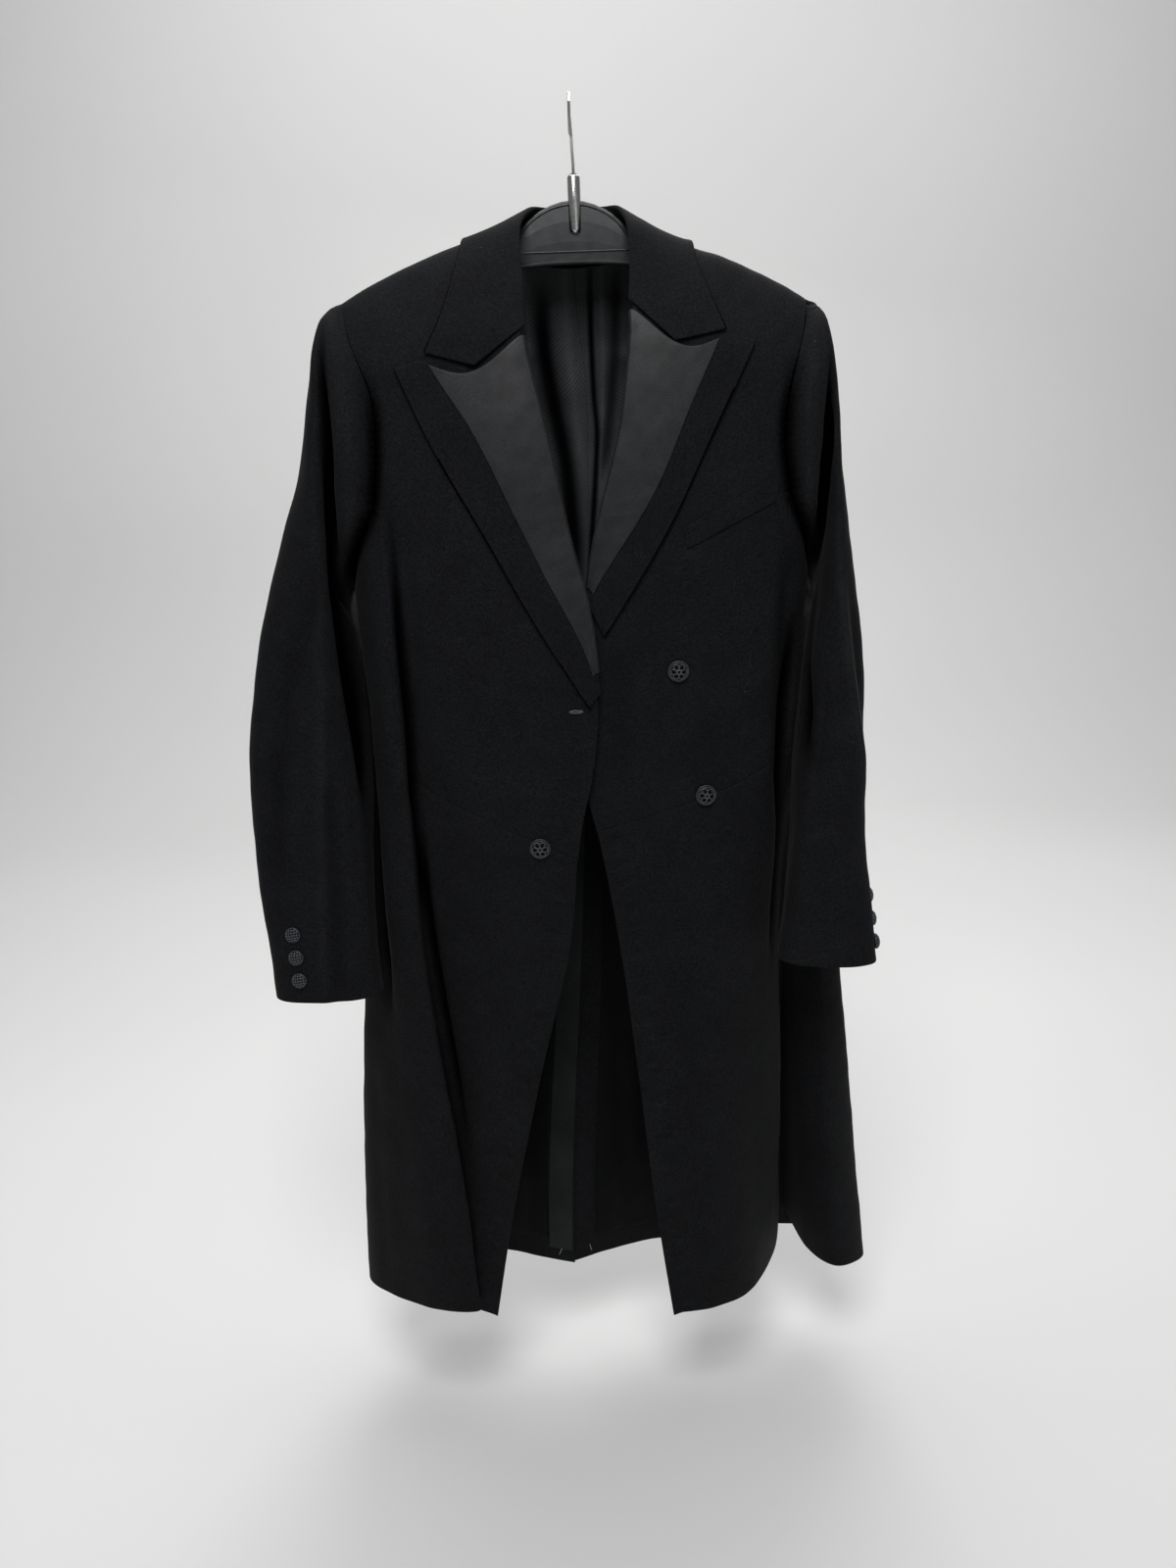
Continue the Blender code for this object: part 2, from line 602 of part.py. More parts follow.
def sleeve_half(side, under):
    """The top sleeve, from hind seam over the outside to fore seam, or the under sleeve, from there back."""
    tube = sleeve_tube(side)

    def surface(s, v):
        hind, fore = sleeve_seam(side, HIND_SEAM, v), sleeve_seam(side, FORE_SEAM, v)
        first, last = (fore, hind + 1) if under else (hind, fore)
        return tube(first + (last - first) * s, v)

    return surface


def lapel_row(side, place):
    roll_h, edge_a, edge_h, silk = [column(LAPEL[side], key, place) for key in range(1, 5)]
    return column(FRONT_EDGE[side], 1, roll_h), roll_h, edge_a, edge_h, silk


def off_front(side, out, drop, lift):
    """A point this far off the outer face in front."""

    def flat(a, h):
        return body(side, front_turn(side, a, h), h)

    n = normals(flat, out, drop, -SIDES[side])
    return flat(out, drop) + n * np.asarray(lift)[..., None]


def lapel_surface(side, extra=0.0):
    """Across s from the roll (0) to the outer edge (1), with the turned roll below 0; along b down the lapel."""

    def surface(s, b):
        s, b = np.broadcast_arrays(np.asarray(s, float), np.asarray(b, float))
        roll_a, roll_h, edge_a, edge_h, _ = lapel_row(side, b)
        flat = np.clip(s, 0, 1)
        peak = PEAK_SAG[side] * np.clip(1 - b / 0.22, 0, 1) ** 1.5
        a = roll_a + (edge_a - roll_a) * flat
        h = roll_h + (edge_h - roll_h) * flat + peak * np.sin(math.pi * np.clip(flat * 1.25, 0,
                                                                                1)) ** 1.3
        wide = np.clip((edge_a - roll_a) / 0.08, 0.15, 1)
        lift = LAPEL_REST + LAPEL_RISE * wide * np.sin(math.pi * np.clip(flat, 0, 1) ** 0.8) + extra
        curl = np.clip(-s, 0, 1)
        half = (LAPEL_REST + CLOTH) / 2
        radius = half + extra
        angle = math.pi * curl
        turned_lift = LAPEL_REST - half + radius * np.cos(angle)
        turned_a = roll_a - radius * np.sin(angle)
        lift = np.where(s < 0, turned_lift, lift)
        a = np.where(s < 0, turned_a, a)
        return off_front(side, a, h, lift)

    return surface


def shoulder(x, degrees):
    """A point of the outer face, by its x and how many degrees over the shoulder it lies, behind positive."""
    x, lean = np.broadcast_arrays(np.asarray(x, float), np.radians(np.asarray(degrees, float)))
    over = np.minimum(np.abs(lean), math.pi / 2)
    fall = RIDGE_REACH * (1 - np.cos(over) + np.abs(lean) - over)

    def on(side):
        drop = column(RIDGE_LINE[side], 1, np.abs(x)) + fall
        turn = front_turn(side, np.abs(x), drop)
        fore = section(turn)[1]
        deep = np.where(lean < 0, -column(BODY[side], 2, drop), column(BODY[side], 3, drop))
        return np.stack([x, deep * fore * np.sin(over), -drop], axis=-1)

    return np.where((x < 0)[..., None], on("right"), on("left"))


def raised(x, degrees, lift):
    step = 0.001
    across = shoulder(x + step, degrees) - shoulder(x - step, degrees)
    along = shoulder(x, degrees + 1.0) - shoulder(x, degrees - 1.0)
    n = np.cross(across, along)
    n = n / np.linalg.norm(n, axis=-1, keepdims=True)
    return shoulder(x, degrees) + n * lift


def collar_row(fold, seam, middle):
    """Four points of the collar: its neck seam and three round its fold."""
    middle_point = raised(np.array(middle[0]), np.array(middle[1]), COLLAR_RISE)
    if isinstance(fold, float):
        side = "right" if seam[0] < 0 else "left"
        half = (COLLAR_REST + COLLAR_WALL) / 2
        line = []
        for degrees in (180, 135, 90, 45):
            a = math.radians(degrees)
            out = np.array(column(FRONT_EDGE[side], 1, fold) - half * math.sin(a) - SEAM)
            line.append(off_front(side, out, np.array(fold),
                                  np.array(COLLAR_REST - half + half * math.cos(a))))
        return line
    top = np.array([fold[0], fold[1], -fold[2]])
    neck = shoulder(np.array(seam[0]), np.array(seam[1]))
    inward = np.array([0.0, 0.012, 0.0]) - neck
    inward[2] = 0.0
    neck = neck + inward / np.linalg.norm(inward) * (COLLAR_WALL + 2 * SEAM) + np.array([0.0, 0.0,
                                                                                         3 * SEAM])
    crest = top - (neck + middle_point) / 2
    crest = crest / np.linalg.norm(crest)
    across = middle_point - neck
    across = across - crest * np.dot(across, crest)
    across = across / np.linalg.norm(across)
    inner = top - (crest + across) * FOLD_HALF
    outer = top - (crest - across) * FOLD_HALF
    return [neck, inner, top, outer]


def collar_surface():
    """Round c from the wearer's right end to the left, across s from the neck seam (0) over the fold to the edge (1)."""
    places = [row[0] for row in COLLAR]
    rows = [collar_row(*row[1:4]) for row in COLLAR]

    def line(key, c):
        return [curve(places, [row[key][k] for row in COLLAR], c) for k in range(2)]

    def surface(c, s):
        c, s = np.broadcast_arrays(np.asarray(c, float), np.asarray(s, float))
        lines = [curve(places, [row[k] for row in rows], c[..., None]) for k in range(4)]
        lines += [raised(*line(3, c), COLLAR_RISE), raised(*line(4, c), COLLAR_REST)]
        return curve((0.0, 0.24, 0.32, 0.40, 0.70, 1.0), lines, s[..., None])

    return surface


def welt(u, v):
    """Across u along the pocket mouth, down v over the height of the welt."""
    corners = np.array(WELT)
    upper = corners[0] + (corners[1] - corners[0]) * np.asarray(u)[..., None]
    lower = corners[2] + (corners[3] - corners[2]) * np.asarray(u)[..., None]
    at = upper + (lower - upper) * np.asarray(v)[..., None]
    return body("left", front_turn("left", at[..., 0], at[..., 1]), at[..., 1])


# Hard parts


def button(name, centre, facing, size, nodes, finish_material):
    """A domed button with its flat foot on the cloth."""
    radius, high = size / 2, size * 0.30
    mesh = bmesh.new()
    outline = [(0.0, 0.0), (0.90 * radius, 0.0), (radius, 0.18 * high), (radius, 0.34 * high)]
    for angle in (30, 62):
        a = math.radians(angle)
        outline.append((radius * math.cos(a), 0.34 * high + 0.66 * high * math.sin(a)))
    outline.append((0.0, high))
    line = [mesh.verts.new((x, 0.0, z)) for x, z in outline]
    edges = [mesh.edges.new(pair) for pair in zip(line, line[1:])]
    bmesh.ops.spin(mesh, geom=line + edges, cent=(0, 0, 0), axis=(0, 0, 1), angle=math.tau,
                   steps=BUTTON_TURNS, use_merge=True)
    bmesh.ops.remove_doubles(mesh, verts=mesh.verts, dist=1e-6)
    turn = Vector((0, 0, 1)).rotation_difference(Vector(facing))
    bmesh.ops.transform(mesh, matrix=Matrix.Translation(Vector(centre)) @ turn.to_matrix().to_4x4(),
                        verts=mesh.verts)
    return finish(name, mesh, nodes, finish_material)


def wire(name, path, thick, nodes, finish_material):
    """A round wire along a path, closed at both ends."""
    line = bpy.data.curves.new(name, "CURVE")
    line.dimensions = "3D"
    spline = line.splines.new("POLY")
    spline.points.add(len(path) - 1)
    for point, co in zip(spline.points, path):
        point.co = (*co, 1.0)
    line.bevel_depth = thick / 2
    line.bevel_resolution = 2
    line.use_fill_caps = True
    line.materials.append(finish_material)
    thing = bpy.data.objects.new(name, line)
    nodes.objects.link(thing)
    return thing


def hook_path():
    """Up from the socket, forward to the front of the rail, over it and down behind."""
    radius = HOOK_INSIDE + WIRE / 2
    centre = -HOOK_INSIDE
    path = [(0.002, 0.0, -SOCKET_TOP - BORE_DEEP + 2 * SEAM), (0.002, 0.0, -0.056),
            (0.0015, -0.004, -0.046), (0.001, -0.012, -0.035)]
    for step in range(13):
        angle = math.radians(195 - step * 19)
        path.append((0.0, radius * math.cos(angle), centre + radius * math.sin(angle)))
    return path


def ring_of(mesh, x, half, top, low, power):
    """A ring of corners round a section of the hanger, from its top round to its bottom."""
    middle, high = (top + low) / 2, (low - top) / 2
    ring = []
    for k in range(HANGER_RING):
        angle = math.tau * (k + 0.5) / HANGER_RING
        s, c = math.sin(angle), math.cos(angle)
        size = (abs(s) ** power + abs(c) ** power) ** (1 / power)
        ring.append(mesh.verts.new((x, half * c / size, -(middle - high * s / size))))
    return ring


def swept(name, stations, nodes, finish_material):
    """A solid through rings: each station gives its x, half depth, top, bottom and squareness."""
    mesh = bmesh.new()
    rings = [ring_of(mesh, *station) for station in stations]
    for ring in rings:
        for pair in zip(ring, ring[1:] + ring[:1]):
            mesh.edges.new(pair)
    for one, two in zip(rings, rings[1:]):
        edges = [mesh.edges.get(pair) for ring in (one, two) for pair in zip(ring, ring[1:] + ring[:1])]
        bmesh.ops.bridge_loops(mesh, edges=edges)
    for ring in (rings[0], rings[-1]):
        bmesh.ops.contextual_create(mesh, geom=ring)
    return finish(name, mesh, nodes, finish_material)


def arch_low(x):
    """The lower edge of the plate at this x."""
    return PLATE_LOW + 0.0022 * (x / 0.048) ** 2


def arm_station(share):
    x = share * ARM_HALF
    side = "left" if x > 0 else "right"
    arm_top = float(column(RIDGE_LINE[side], 1, abs(x))) + 1.3 * CLOTH + 4 * SEAM
    arch = PLATE_TOP + 0.0215 * (abs(x) / 0.047) ** 2
    join = float(smooth((abs(x) - 0.036) / 0.030))
    top = arch + (arm_top - arch) * join
    fall = float(smooth((abs(x) - 0.050) / 0.050))
    low = arch_low(x) + (arm_top + 0.019 + 0.004 * (1 - abs(share)) - arch_low(x)) * fall
    thick = float(smooth((abs(x) - 0.055) / 0.080))
    return x, PLATE / 2 + (ARM_DEPTH / 2 - PLATE / 2) * thick, top, low, 4.0 - 1.9 * thick


def rim_station(share):
    x = share * 0.056
    return x, RIM / 2, arch_low(x) - 0.0022, arch_low(x) + 0.0020, 3.0


def rod(name, thick, top, low, y, nodes, finish_material):
    """An upright rod with a rounded lower end."""
    mesh = bmesh.new()
    bmesh.ops.create_cone(mesh, cap_ends=True, segments=14, radius1=thick / 2, radius2=thick / 2,
                          depth=low - top)
    bmesh.ops.translate(mesh, vec=(0.002, y, -(top + low) / 2), verts=mesh.verts)
    floor = [edge for edge in mesh.edges if max(vert.co.z for vert in edge.verts) < -low + 1e-5]
    bmesh.ops.bevel(mesh, geom=floor, offset=thick * 0.4, segments=3, profile=0.5, affect="EDGES",
                    material=-1)
    return finish(name, mesh, nodes, finish_material)


def joined(thing, other, operation):
    change = thing.modifiers.new(other.name, "BOOLEAN")
    change.operation = operation
    change.solver = "EXACT"
    change.object = other
    other.hide_render = True
    other.display_type = "WIRE"


def hanger(nodes, cutters, finish_material):
    """The plate between the arms, the two arms, the rim under the plate and the socket of the hook, moulded in one."""
    thing = swept("hanger", [arm_station(share) for share in np.linspace(-1, 1, 41)], nodes,
                  finish_material)
    rim = swept("hanger rim", [rim_station(share) for share in np.linspace(-1, 1, 9)], cutters,
                finish_material)
    neck = rod("hook socket", SOCKET, SOCKET_TOP, SOCKET_TOP + 0.030, 0.0, cutters, finish_material)
    ridge = rod("socket ridge", RIDGE, PLATE_TOP - 0.003, RIDGE_LOW, 0.0, cutters, finish_material)
    bore = rod("socket bore", WIRE + 2 * SEAM, SOCKET_TOP - 0.002, SOCKET_TOP + BORE_DEEP, 0.0, cutters,
               finish_material)
    for other in (rim, neck, ridge):
        joined(thing, other, "UNION")
    joined(thing, bore, "DIFFERENCE")


def build():
    for thing in list(bpy.data.objects):
        bpy.data.objects.remove(thing, do_unlink=True)
    nodes = bpy.data.collections.new("Evening frock coat")
    cutters = bpy.data.collections.new("Cutters")
    for group in (nodes, cutters):
        bpy.context.scene.collection.children.link(group)
    wool = material("black wool", (0.0095, 0.0095, 0.0105), 0.92, sheen=0.25)
    silk = material("black silk", (0.028, 0.028, 0.030), 0.55, sheen=0.15)
    lining = material("black lining twill", (0.024, 0.025, 0.026), 0.65)
    braid = material("corded button cover", (0.013, 0.013, 0.014), 0.60)
    plastic = material("black hanger plastic", (0.018, 0.019, 0.021), 0.35)
    steel = material("plated steel wire", (0.62, 0.62, 0.60), 0.22, metal=1.0)

    for side, sign in SIDES.items():
        out = -sign
        # Forepart, side body, back and skirt
        panel("forepart_" + side, forepart(side), FOREPART_COLUMNS, FOREPART_ROWS,
              CLOTH, out, nodes, wool, v_span=(8e-6, 9))
        panel("side_body_" + side, side_panel(side), np.linspace(0.0012, 1 - 0.0018, 10),
              (SEAM_DROPS - ARMHOLE_SPLIT) / SEAM_RUN,
              CLOTH, out, nodes, wool)
        lap = BACK_LAP if side == "left" else 0.0
        panel("back_" + side, back_panel(side, lap), np.linspace(0.0035, 1 - 0.0025, 9),
              back_rows(side),
              CLOTH, out, nodes, wool, v_span=(4e-6, 9))
        panel("skirt_" + side, skirt_panel(side), np.linspace(0, 1 - 0.0018, 30),
              np.linspace(0.0016, 1, 12),
              CLOTH, out, nodes, wool)
        # Sleeve, top and under
        for under, name in enumerate(("top_sleeve_", "under_sleeve_")):
            panel(name + side, sleeve_half(side, under), np.linspace(0.0026, 1 - 0.0026, 11),
                  SLEEVE_ROWS, CLOTH, sign, nodes, wool)
        # Lapel and its silk
        lapel = lapel_surface(side)
        across = np.concatenate([np.linspace(-1, 0, 5), np.linspace(0.14, 1, 6)])
        panel("lapel_" + side, lapel, across, np.linspace(0, 1, 13), CLOTH, out, nodes, wool)
        facing = lapel_surface(side, 1.5 * SEAM + SILK)

        def silk_patch(s, b, facing=facing, side=side):
            share = lapel_row(side, b)[4]
            return facing(np.where(s < 0, s, s * share), b)

        panel("silk_facing_" + side, silk_patch, np.concatenate([[-0.5, -0.25], np.linspace(0, 1, 6)]),
              np.linspace(0.006, 0.94, 12),
              SILK, out, nodes, silk)
        # Lining that shows in the neck and between the skirts
        back = back_panel(side)
        inside = -CLOTH - 3 * SEAM
        panel("back_lining_" + side, back, np.linspace(0.40, 1 - 0.004, 6), LINING_ROWS,
              LINING, out, nodes, lining, lift=inside)
        panel("skirt_lining_" + side, back, np.linspace(0.06, 1 - 0.20, 6), np.linspace(0.50, 0.975, 7),
              LINING, out, nodes, lining, lift=inside)

    panel("collar", collar_surface(), np.linspace(0, 1, 31),
          np.array([0, 0.12, 0.24, 0.28, 0.32, 0.36, 0.40, 0.55, 0.70, 0.85, 1.0]),
          COLLAR_WALL, 1.0, nodes, wool)

    panel("breast_pocket_welt", welt, np.linspace(0, 1, 9), np.linspace(0, 1, 4),
          WELT_WALL, -1.0, nodes, wool, lift=WELT_LIFT)

    # Buttons
    for name, side, out, drop in BODY_BUTTONS:
        def flat(a, h, side=side):
            return body(side, front_turn(side, a, h), h)

        a, h = np.array(out), np.array(drop)
        facing = normals(flat, a, h, -SIDES[side])
        button(name, flat(a, h) + facing * BUTTON_SEAT, facing, FRONT_BUTTON, nodes, braid)
    for side, sign in SIDES.items():
        turn, drop = np.array(BACK_SEAM - 0.02), np.array(0.548)

        def around(t, h, side=side):
            return body(side, t, h)

        facing = normals(around, turn, drop, -sign)
        button("back_button_" + side, around(turn, drop) + facing * 2 * BUTTON_SEAT, facing,
               FRONT_BUTTON, nodes, braid)
        tube = sleeve_tube(side)
        place = (HIND_SEAM[side][1] + (9 if side == "right" else 4)) / 360
        for number, drop in enumerate(CUFF_DROPS[side], 1):
            low, high = 0.5, 1.0
            for _ in range(30):
                middle = (low + high) / 2
                if -float(tube(place, middle)[2]) < drop:
                    low = middle
                else:
                    high = middle
            u, v = np.array(place), np.array(low)
            facing = normals(tube, u, v, sign)
            button("cuff_button_%s_%d" % (side, number), tube(u, v) + facing * BUTTON_SEAT, facing,
                   CUFF_BUTTON, nodes, braid)

    # Hanger
    wire("hook", hook_path(), WIRE, nodes, steel)
    hanger(nodes, cutters, plastic)


build()
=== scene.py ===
"""A long double-breasted evening coat on its hanger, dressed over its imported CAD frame.

The coat is drawn as it hangs. One body surface, measured by how far a point drops below
the hook and by how far round the body it lies, carries every panel, as it does in the CAD.
Here each panel is a fine sheet of that surface with its creases pressed into it.
"""

import math
from functools import partial

import bmesh
import bpy
import numpy as np
from mathutils import Matrix, Vector


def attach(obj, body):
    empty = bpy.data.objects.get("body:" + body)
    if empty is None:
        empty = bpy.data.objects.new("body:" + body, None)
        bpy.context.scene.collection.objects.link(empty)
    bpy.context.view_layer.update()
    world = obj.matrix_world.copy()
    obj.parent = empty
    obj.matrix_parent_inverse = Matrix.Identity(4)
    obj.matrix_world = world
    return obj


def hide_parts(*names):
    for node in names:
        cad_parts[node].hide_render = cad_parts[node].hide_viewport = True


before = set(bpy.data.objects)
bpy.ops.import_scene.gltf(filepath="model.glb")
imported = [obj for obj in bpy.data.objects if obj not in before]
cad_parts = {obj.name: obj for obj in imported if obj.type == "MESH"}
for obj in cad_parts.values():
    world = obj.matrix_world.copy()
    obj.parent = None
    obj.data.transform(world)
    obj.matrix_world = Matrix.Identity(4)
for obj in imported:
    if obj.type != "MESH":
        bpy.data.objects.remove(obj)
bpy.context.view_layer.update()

bl_info = {
    "name": "Evening frock coat on a hanger",
    "version": (1, 0, 0),
    "blender": (4, 5, 0),
    "location": "3D view > Sidebar > Coat",
    "description": "Dresses the frame of a hung evening coat in wool, silk, lining, buttons and hanger",
    "category": "Object",
}

MM = 0.001

# Cloth and seams
CLOTH = 1.6 * MM
LINING = 1.0 * MM
SILK = 1.0 * MM
SEAM = 0.3 * MM
PROBE = 0.002

# Body section
SQUARENESS = 3.0
RIDGE_REACH = 0.100
SHOULDER_HALF = 0.235
NECK_POINT = 0.054
BACK_NECK = 0.114
SIDE_SEAM = 0.840
BACK_SEAM = 2.706
SEAM_RUN = 0.22
ARMHOLE_SPLIT = 0.340
ARMHOLE_DEEP = 0.072
HEM_DROP = 1.185
BACK_LAP = 0.085
VENT_LIFT = 3.0 * MM
BLEND_FROM = 0.500
BLEND_TO = 0.680
OVERLAP_OUT = 4.0 * MM
OVERLAP_IN = 3.0 * MM

NECK_TOP = 0.12
SOLVING_ROUNDS = 6
CROSSING_HALF = 0.22

# The long fold down the wearer's right side: how far it moves the cloth back, its turn, its half width
LONG_FOLD = ((0.016, 0.73, 0.07), (-0.006, 0.92, 0.10))
LONG_FOLD_FROM, LONG_FOLD_RUN = 0.34, 0.20

# The drag fold of a sleeve at the front of the armhole
DRAG_DEEP = 0.014
DRAG_HALF = 0.009

# Lapels and collar
LAPEL_REST = 2.4 * MM
LAPEL_RISE = 4.0 * MM
COLLAR_WALL = 1.8 * MM
COLLAR_REST = 3.0 * MM
COLLAR_RISE = 5.0 * MM
FOLD_HALF = 2.4 * MM

# Buttons
FRONT_BUTTON = 20 * MM
CUFF_BUTTON = 15 * MM
BUTTON_SEAT = 0.5 * MM

# Hanger
RIDGE = 11.0 * MM
RIDGE_LOW = 0.1105
PLATE = 3.6 * MM
PLATE_TOP = 0.083
PLATE_LOW = 0.1335

# Across the body at each drop: drop, half width, depth in front, depth behind
BODY = {
    "right": (
        (0.090, 0.235, 0.050, 0.050),
        (0.160, 0.235, 0.056, 0.056),
        (0.220, 0.232, 0.066, 0.068),
        (0.300, 0.226, 0.072, 0.077),
        (0.420, 0.2165, 0.070, 0.070),
        (0.560, 0.2182, 0.061, 0.055),
        (0.700, 0.2222, 0.058, 0.052),
        (1.200, 0.260, 0.058, 0.052),
    ),
    "left": (
        (0.090, 0.235, 0.050, 0.050),
        (0.160, 0.235, 0.056, 0.056),
        (0.220, 0.232, 0.066, 0.068),
        (0.300, 0.224, 0.072, 0.077),
        (0.420, 0.209, 0.070, 0.070),
        (0.560, 0.2042, 0.061, 0.055),
        (0.700, 0.203, 0.058, 0.052),
        (1.200, 0.230, 0.058, 0.052),
    ),
}

# The ridge of the shoulder: distance from the middle, drop
RIDGE_LINE = {
    "right": ((0.0, 0.094), (0.054, 0.104), (0.097, 0.115), (0.127, 0.125), (0.163, 0.139),
              (0.199, 0.156), (0.235, 0.178)),
    "left": ((0.0, 0.094), (0.054, 0.107), (0.107, 0.126), (0.135, 0.135), (0.178, 0.155),
             (0.200, 0.167), (0.235, 0.189)),
}

# The front edge of the forepart, roll line first: drop, distance from the middle
FRONT_EDGE = {
    "right": ((0.100, 0.055), (0.130, 0.051), (0.158, 0.0475), (0.204, 0.0470), (0.248, 0.0385),
              (0.296, 0.0285), (0.380, 0.0120),
              (0.423, 0.0010), (0.472, -0.0055), (0.530, -0.0088), (0.594, -0.0040), (0.641, 0.0025),
              (0.700, 0.0060)),
    "left": ((0.100, 0.056), (0.130, 0.052), (0.179, 0.0480), (0.204, 0.0475), (0.278, 0.0370),
             (0.340, 0.0200), (0.378, 0.0100),
             (0.434, 0.0000), (0.480, -0.0070), (0.560, -0.0080), (0.640, -0.0020), (0.700, 0.0010)),
}

# The armhole, shoulder to the top of the side seam: drop, distance from the middle
ARMHOLE = {
    "right": ((0.160, 0.2080), (0.198, 0.1990), (0.244, 0.1815), (0.295, 0.1810), (0.340, 0.1870)),
    "left": ((0.165, 0.2070), (0.201, 0.1990), (0.250, 0.1850), (0.295, 0.1810), (0.340, 0.1870)),
}

# The waist seam: how far round, drop
WAIST = {
    "right": ((-0.10, 0.678), (0.03, 0.671), (0.30, 0.646), (0.50, 0.625), (0.72, 0.600), (0.90, 0.580),
              (1.57, 0.565), (2.20, 0.560), (2.80, 0.560)),
    "left": ((-0.10, 0.655), (0.0, 0.648), (0.40, 0.622), (0.62, 0.606), (0.80, 0.590), (0.95, 0.580),
             (1.57, 0.565), (2.20, 0.560), (2.80, 0.560)),
}

# The hem of the skirt: how far round, drop
HEM = {
    "right": ((0.0, 1.184), (0.08, 1.181), (0.40, 1.172), (0.84, 1.162), (1.15, 1.160), (1.57, 1.168),
              (2.10, 1.180), (2.70, 1.185)),
    "left": ((0.0, 1.182), (0.10, 1.179), (0.40, 1.177), (0.84, 1.174), (1.15, 1.160), (1.45, 1.172),
             (1.75, 1.173), (2.10, 1.182), (2.70, 1.185)),
}

# How far round the skirt each of its named lines lies
SKIRT_ROUND = {
    "right": (0.0, 0.40, 0.70, 0.84, 1.15, 1.571, 2.10, 2.60, 2.706, 2.85, 3.142),
    "left": (0.0, 0.40, 0.70, 0.84, 1.15, 1.45, 1.75, 2.05, 2.35, 2.60, 2.706, 2.85, 3.142),
}

# Skirts, a row per level: drop, then out from the middle and forward for each line
# right: edge, front, valley, lip, lobe, side, hip, pleat lip, pleat, back, middle
# left: edge, front, turn, corner, fold floor, lobe edge, lobe, side, hip, pleat lip, pleat, back, middle
SKIRT = {
    "right": (
        (0.60, (0.006, -0.060), (0.088, -0.060), (0.158, -0.038), (0.170, -0.048), (0.200, -0.036),
         (0.2192, 0.000),
         (0.185, 0.045), (0.110, 0.054), (0.095, 0.050), (0.060, 0.054), (0.000, 0.052)),
        (0.75, (0.019, -0.057), (0.095, -0.059), (0.170, -0.030), (0.167, -0.054), (0.202, -0.046),
         (0.2335, 0.004),
         (0.205, 0.058), (0.115, 0.060), (0.100, 0.052), (0.064, 0.056), (0.000, 0.050)),
        (0.90, (0.057, -0.054), (0.113, -0.055), (0.174, -0.022), (0.155, -0.060), (0.201, -0.052),
         (0.2490, 0.000),
         (0.222, 0.070), (0.125, 0.072), (0.108, 0.060), (0.068, 0.060), (0.000, 0.046)),
        (1.05, (0.092, -0.052), (0.134, -0.050), (0.172, -0.018), (0.141, -0.064), (0.196, -0.057),
         (0.259, 0.000),
         (0.235, 0.078), (0.135, 0.085), (0.116, 0.072), (0.072, 0.066), (0.000, 0.042)),
        (1.20, (0.121, -0.050), (0.148, -0.044), (0.170, -0.015), (0.133, -0.066), (0.192, -0.062),
         (0.265, 0.000),
         (0.245, 0.085), (0.142, 0.100), (0.122, 0.078), (0.076, 0.064), (0.000, 0.040)),
    ),
    "left": (
        (0.60, (-0.004, -0.055), (0.085, -0.058), (0.152, -0.046), (0.178, -0.036), (0.193, -0.020),
         (0.201, -0.006),
         (0.203, 0.010), (0.196, 0.028), (0.165, 0.046), (0.110, 0.054), (0.095, 0.050), (0.060, 0.054),
         (0.000, 0.052)),
        (0.75, (0.020, -0.053), (0.092, -0.060), (0.150, -0.050), (0.176, -0.026), (0.192, 0.018),
         (0.207, 0.012),
         (0.226, 0.006), (0.243, 0.030), (0.205, 0.062), (0.115, 0.060), (0.100, 0.052), (0.064, 0.056),
         (0.000, 0.050)),
        (0.90, (0.0365, -0.053), (0.100, -0.058), (0.152, -0.046), (0.184, -0.012), (0.197, 0.052),
         (0.211, 0.024),
         (0.237, 0.003), (0.263, 0.034), (0.225, 0.075), (0.125, 0.072), (0.108, 0.060), (0.068, 0.060),
         (0.000, 0.046)),
        (1.05, (0.051, -0.056), (0.108, -0.056), (0.155, -0.036), (0.189, 0.010), (0.203, 0.080),
         (0.218, 0.032),
         (0.245, 0.000), (0.277, 0.034), (0.240, 0.085), (0.135, 0.085), (0.116, 0.072), (0.072, 0.066),
         (0.000, 0.042)),
        (1.20, (0.070, -0.060), (0.115, -0.054), (0.158, -0.024), (0.190, 0.040), (0.208, 0.104),
         (0.226, 0.036),
         (0.254, 0.000), (0.292, 0.034), (0.250, 0.092), (0.142, 0.100), (0.122, 0.086), (0.076, 0.078),
         (0.000, 0.040)),
    ),
}

# The middle of the back drifts to the wearer's right towards the hem: drop, x
BACK_LINE = ((0.10, 0.0), (0.15, 0.0), (0.24, 0.008), (0.45, 0.002), (0.745, -0.011), (1.047, -0.032),
             (1.20, -0.038))

